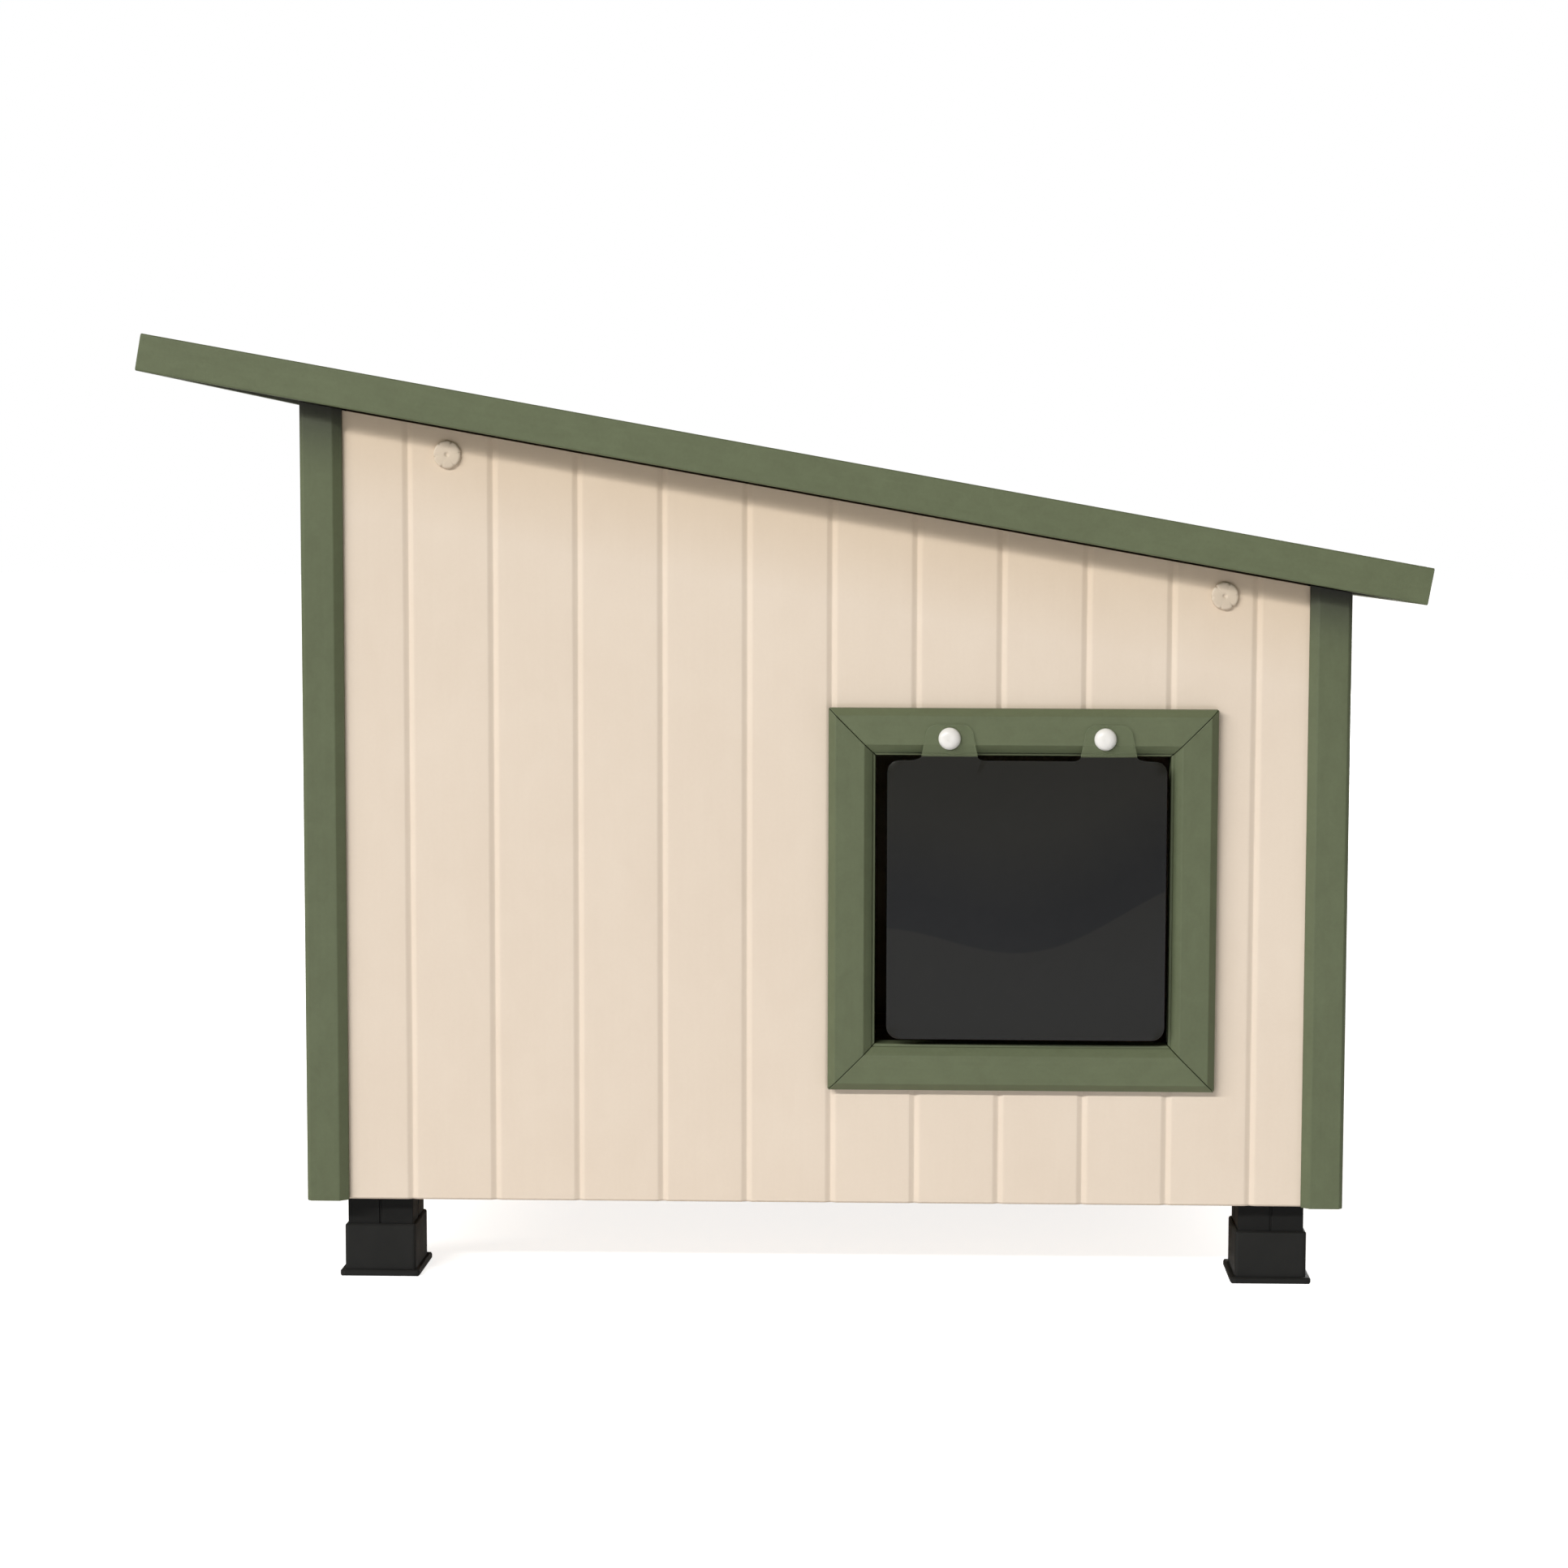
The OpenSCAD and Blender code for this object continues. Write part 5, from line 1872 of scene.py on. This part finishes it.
@dataclass
class WoodScrews:
    """Countersunk wood screws with a cross recess and rings for their thread."""

    nodes: tuple[str, ...] = (
        "floor_screws", "bearer_screws", "rail_screws", "bracket_screws", "hinge_base_screws",
        "hinge_leaf_screws",
    )
    head: float = 3.75
    head_edge: tuple[float, float] = (0.15, 0.12)
    face: tuple[float, ...] = (0.4, 0.8, 1.2, 1.7, 2.2, 2.7)
    shank: float = 2.0
    core_share: float = 0.8
    thread_start: float = 1.0
    thread_end: float = 3.0
    thread_width: float = 1.0
    thread_pitch: float = 1.6
    tip: float = 1.8
    recess_depth: float = 1.5
    recess_half: float = 0.8
    recess_reach: float = 2.3
    recess_slopes: Span = (0.35, 0.6)
    face_depth: float = 0.05
    sides: int = 32
    spin: float = 53.0

    def build(self) -> None:
        """Turns the screws of every node that holds some."""
        for node in self.nodes:
            solids = turned_solids(node)
            screw = turned(self.profile(solids[0].length / MM), self.sides, self.recessed)
            fit(node, "crosshead_" + node, ZINC, screw, solids, self.spin)

    def profile(self, length: float) -> list[tuple[float, float]]:
        """Draws half a screw.

        Args:
            length: its length in millimetres.

        Returns:
            The radius and height of each point, from the recess to the tip.
        """
        head, shank, core = self.head, self.shank, self.shank * self.core_share
        side, drop = self.head_edge
        points = [(0.0, -self.recess_depth), *((radius, 0.0) for radius in self.face)]
        points += [(head - side, 0.0), (head, -drop), (shank, shank - head)]
        thread = shank - head - self.thread_start
        while thread > self.thread_end - length:
            crest, foot = thread - self.thread_width / 2, thread - self.thread_width
            points += [(core, thread), (shank, crest), (core, foot)]
            thread -= self.thread_pitch
        return points + [(core, self.tip - length), (0.0, -length)]

    def recessed(self, radius: float, height: float, angle: float) -> tuple[float, float]:
        """Sinks a cross recess into the flat head.

        Args:
            radius: a point's radius in millimetres.
            height: its height.
            angle: its angle in radians.

        Returns:
            Its radius and new height.
        """
        if height < -self.face_depth:
            return radius, height
        x, y = abs(radius * math.cos(angle)), abs(radius * math.sin(angle))
        side_slope, end_slope = self.recess_slopes
        arm = max(0.0, min(1.0, (self.recess_half - min(x, y)) / side_slope))
        end = max(0.0, min(1.0, (self.recess_reach - max(x, y)) / end_slope))
        return radius, height - self.recess_depth * arm * end


@dataclass
class Fasteners:
    """Notched bolts with their nuts, push pins with their caps, and the wood screws."""

    def build(self) -> None:
        """Makes every kind of fastener."""
        bolts, pins = RailBolts(), PushPins()
        bolts.build()
        pins.build()
        WoodScrews().build()
        bolts.nuts()
        pins.caps()


@dataclass
class Studio:
    """Camera, a long key light, a low fill, a soft back light, an even sky and a pale floor.

    The eye and the sensor are in millimetres, the turns in degrees, and the focal length, the
    centre and the image in pixels. Everything else is in metres and watts.
    """

    eye: tuple[float, float, float] = (79.4, -1873.4, 409.8)
    yaw: float = 0.95
    pitch: float = 4.66
    roll: float = 0.271
    focal: float = 3707.5
    centre: float = 1086.4
    image: float = 1932.0
    sensor: float = 36.0
    view_end: float = 100.0
    key_ahead: float = 14.0
    key_fall: float = 0.655
    key_left: Span = (0.2, 1.9)
    key_height: float = 1.15
    key_power: float = 4730.0
    fill_place: tuple[float, float, float] = (0.0, -0.85, 0.08)
    fill_size: Span = (2.4, 0.1)
    fill_power: float = 0.8
    fill_colour: Colour = (0.9, 1.0, 1.3)
    back_place: tuple[float, float, float] = (2.8, 5.5, 1.5)
    back_size: float = 2.8
    back_power: float = 260.0
    sky: float = 0.18
    sky_colour: Colour = (1.0, 0.935, 0.74)
    floor_tone: float = 0.93
    floor_roughness: float = 0.9
    floor_specular: float = 0.1
    floor_glow: Span = (0.8, 1.0)
    floor_fade: Span = (0.8, 3.0)
    floor_reach: float = 30.0

    def build(self) -> None:
        """Sets up the whole studio."""
        self.camera()
        self.key()
        self.floor_fill()
        self.back_light()
        self.sky_dome()
        self.floor()
        view = bpy.context.scene.view_settings
        view.view_transform = "Standard"
        view.look = "None"

    def camera(self) -> None:
        """Places the camera at the photograph's viewing angle."""
        yaw, pitch, roll = (math.radians(a) for a in (self.yaw, self.pitch, self.roll))
        level = math.cos(pitch)
        ahead = Vector((-math.sin(yaw) * level, math.cos(yaw) * level, -math.sin(pitch)))
        right = Vector((math.cos(yaw), math.sin(yaw), 0))
        up = right.cross(ahead)
        side = right * math.cos(roll) + up * math.sin(roll)
        top = up * math.cos(roll) - right * math.sin(roll)
        data = bpy.data.cameras.new("viewpoint")
        data.sensor_width = self.sensor
        data.lens = self.focal * self.sensor / self.image
        data.shift_x = (self.image / 2 - self.centre) / self.image
        data.clip_end = self.view_end
        camera = bpy.data.objects.new("viewpoint", data)
        turn = Matrix((side, top, -ahead)).transposed().to_4x4()
        camera.matrix_world = Matrix.Translation(Vector(self.eye) * MM) @ turn
        bpy.context.scene.collection.objects.link(camera)
        bpy.context.scene.camera = camera

    def panel_light(
        self, name: str, place: Vector, aim: Vector, width: float, height: float, power: float
    ) -> Piece:
        """Hangs one flat light.

        Args:
            name: the light's name.
            place: its middle, in metres.
            aim: the way it faces.
            width: its width in metres.
            height: its height in metres.
            power: its power in watts.

        Returns:
            The light.
        """
        data = bpy.data.lights.new(name, "AREA")
        data.shape = "RECTANGLE"
        data.size, data.size_y = width, height
        data.energy = power
        lamp = bpy.data.objects.new(name, data)
        turn = aim.to_track_quat("-Z", "Y").to_matrix().to_4x4()
        lamp.matrix_world = Matrix.Translation(place) @ turn
        bpy.context.scene.collection.objects.link(lamp)
        return lamp

    def key(self) -> None:
        """Hangs a long level key light high in front, to the left, so only upright edges shade."""
        near, far = (-share * self.key_ahead for share in self.key_left)
        front = sum((Vector(corner) for corner in CAD_BOX), Vector()) / 2
        place = front + Vector(((near + far) / 2, -self.key_ahead, self.key_ahead * self.key_fall))
        aim = Vector((0, 1, -self.key_fall))
        self.panel_light("key", place, aim, near - far, self.key_height, self.key_power)

    def floor_fill(self) -> None:
        """Stands a weak cool strip low in front, for the light that a bright floor throws back."""
        width, height = self.fill_size
        place, aim = Vector(self.fill_place), Vector((0, 1, 0))
        strip = self.panel_light("floor fill", place, aim, width, height, self.fill_power)
        strip.data.color = self.fill_colour
        strip.visible_camera = False

    def back_light(self) -> None:
        """Hangs a soft light behind, for the sides that the key leaves dark."""
        place = Vector(self.back_place)
        self.panel_light("back light", place, -place, self.back_size, self.back_size, self.back_power)

    def sky_dome(self) -> None:
        """Lights a little from all round, and shows white to the camera."""
        world = bpy.data.worlds.new("sky")
        world.use_nodes = True
        sky = Tree(world.node_tree)
        lit = [sky.add("ShaderNodeLightPath").outputs["Is Camera Ray"]]
        for strength, colour in ((self.sky, self.sky_colour), (1.0, (1.0, 1.0, 1.0))):
            shade = sky.add("ShaderNodeBackground", {"Strength": strength, "Color": (*colour, 1.0)})
            lit.append(shade.outputs[0])
        mix = sky.add("ShaderNodeMixShader")
        for socket, value in zip(mix.inputs, lit):
            sky.fill(socket, value)
        sky.add("ShaderNodeOutputWorld", {"Surface": mix.outputs[0]})
        bpy.context.scene.world = world

    def floor(self) -> None:
        """Lays the pale floor, which fades to white away from the object."""
        bm = bmesh.new()
        reach, tone = self.floor_reach, self.floor_tone
        corners = ((-reach, -reach), (reach, -reach), (reach, reach), (-reach, reach))
        bm.faces.new([bm.verts.new((x, y, 0.0)) for x, y in corners])
        floor = make_object("studio_floor", bm)
        graph = Graph("pale_floor")
        away = graph.add("ShaderNodeVectorMath", {"Vector": graph.place()}, operation="LENGTH")
        glow = graph.spread(away.outputs["Value"], *self.floor_glow, *self.floor_fade)
        seen = graph.add("ShaderNodeLightPath").outputs["Is Camera Ray"]
        graph.set(
            Base_Color=(tone, tone, tone, 1.0),
            Roughness=self.floor_roughness,
            Specular_IOR_Level=self.floor_specular,
            Emission_Color=(1.0, 1.0, 1.0, 1.0),
            Emission_Strength=graph.math("MULTIPLY", glow, seen),
        )
        floor.data.materials.append(graph.material)


def main() -> None:
    """Builds the cat house's looks in order."""
    logging.basicConfig(level=logging.INFO, format="%(name)s: %(message)s")
    parts = (
        Studio(), WallBoards(ROOF_SLOPE), CornerPosts(), DoorMoulding(), ClearFlap(), Feet(),
        RoofCover(ROOF_SLOPE), InnerFrame(), RoofHinges(), Fasteners(),
    )
    for part in parts:
        LOG.info("building %s", type(part).__name__)
        part.build()


if __name__ == "__main__":
    main()
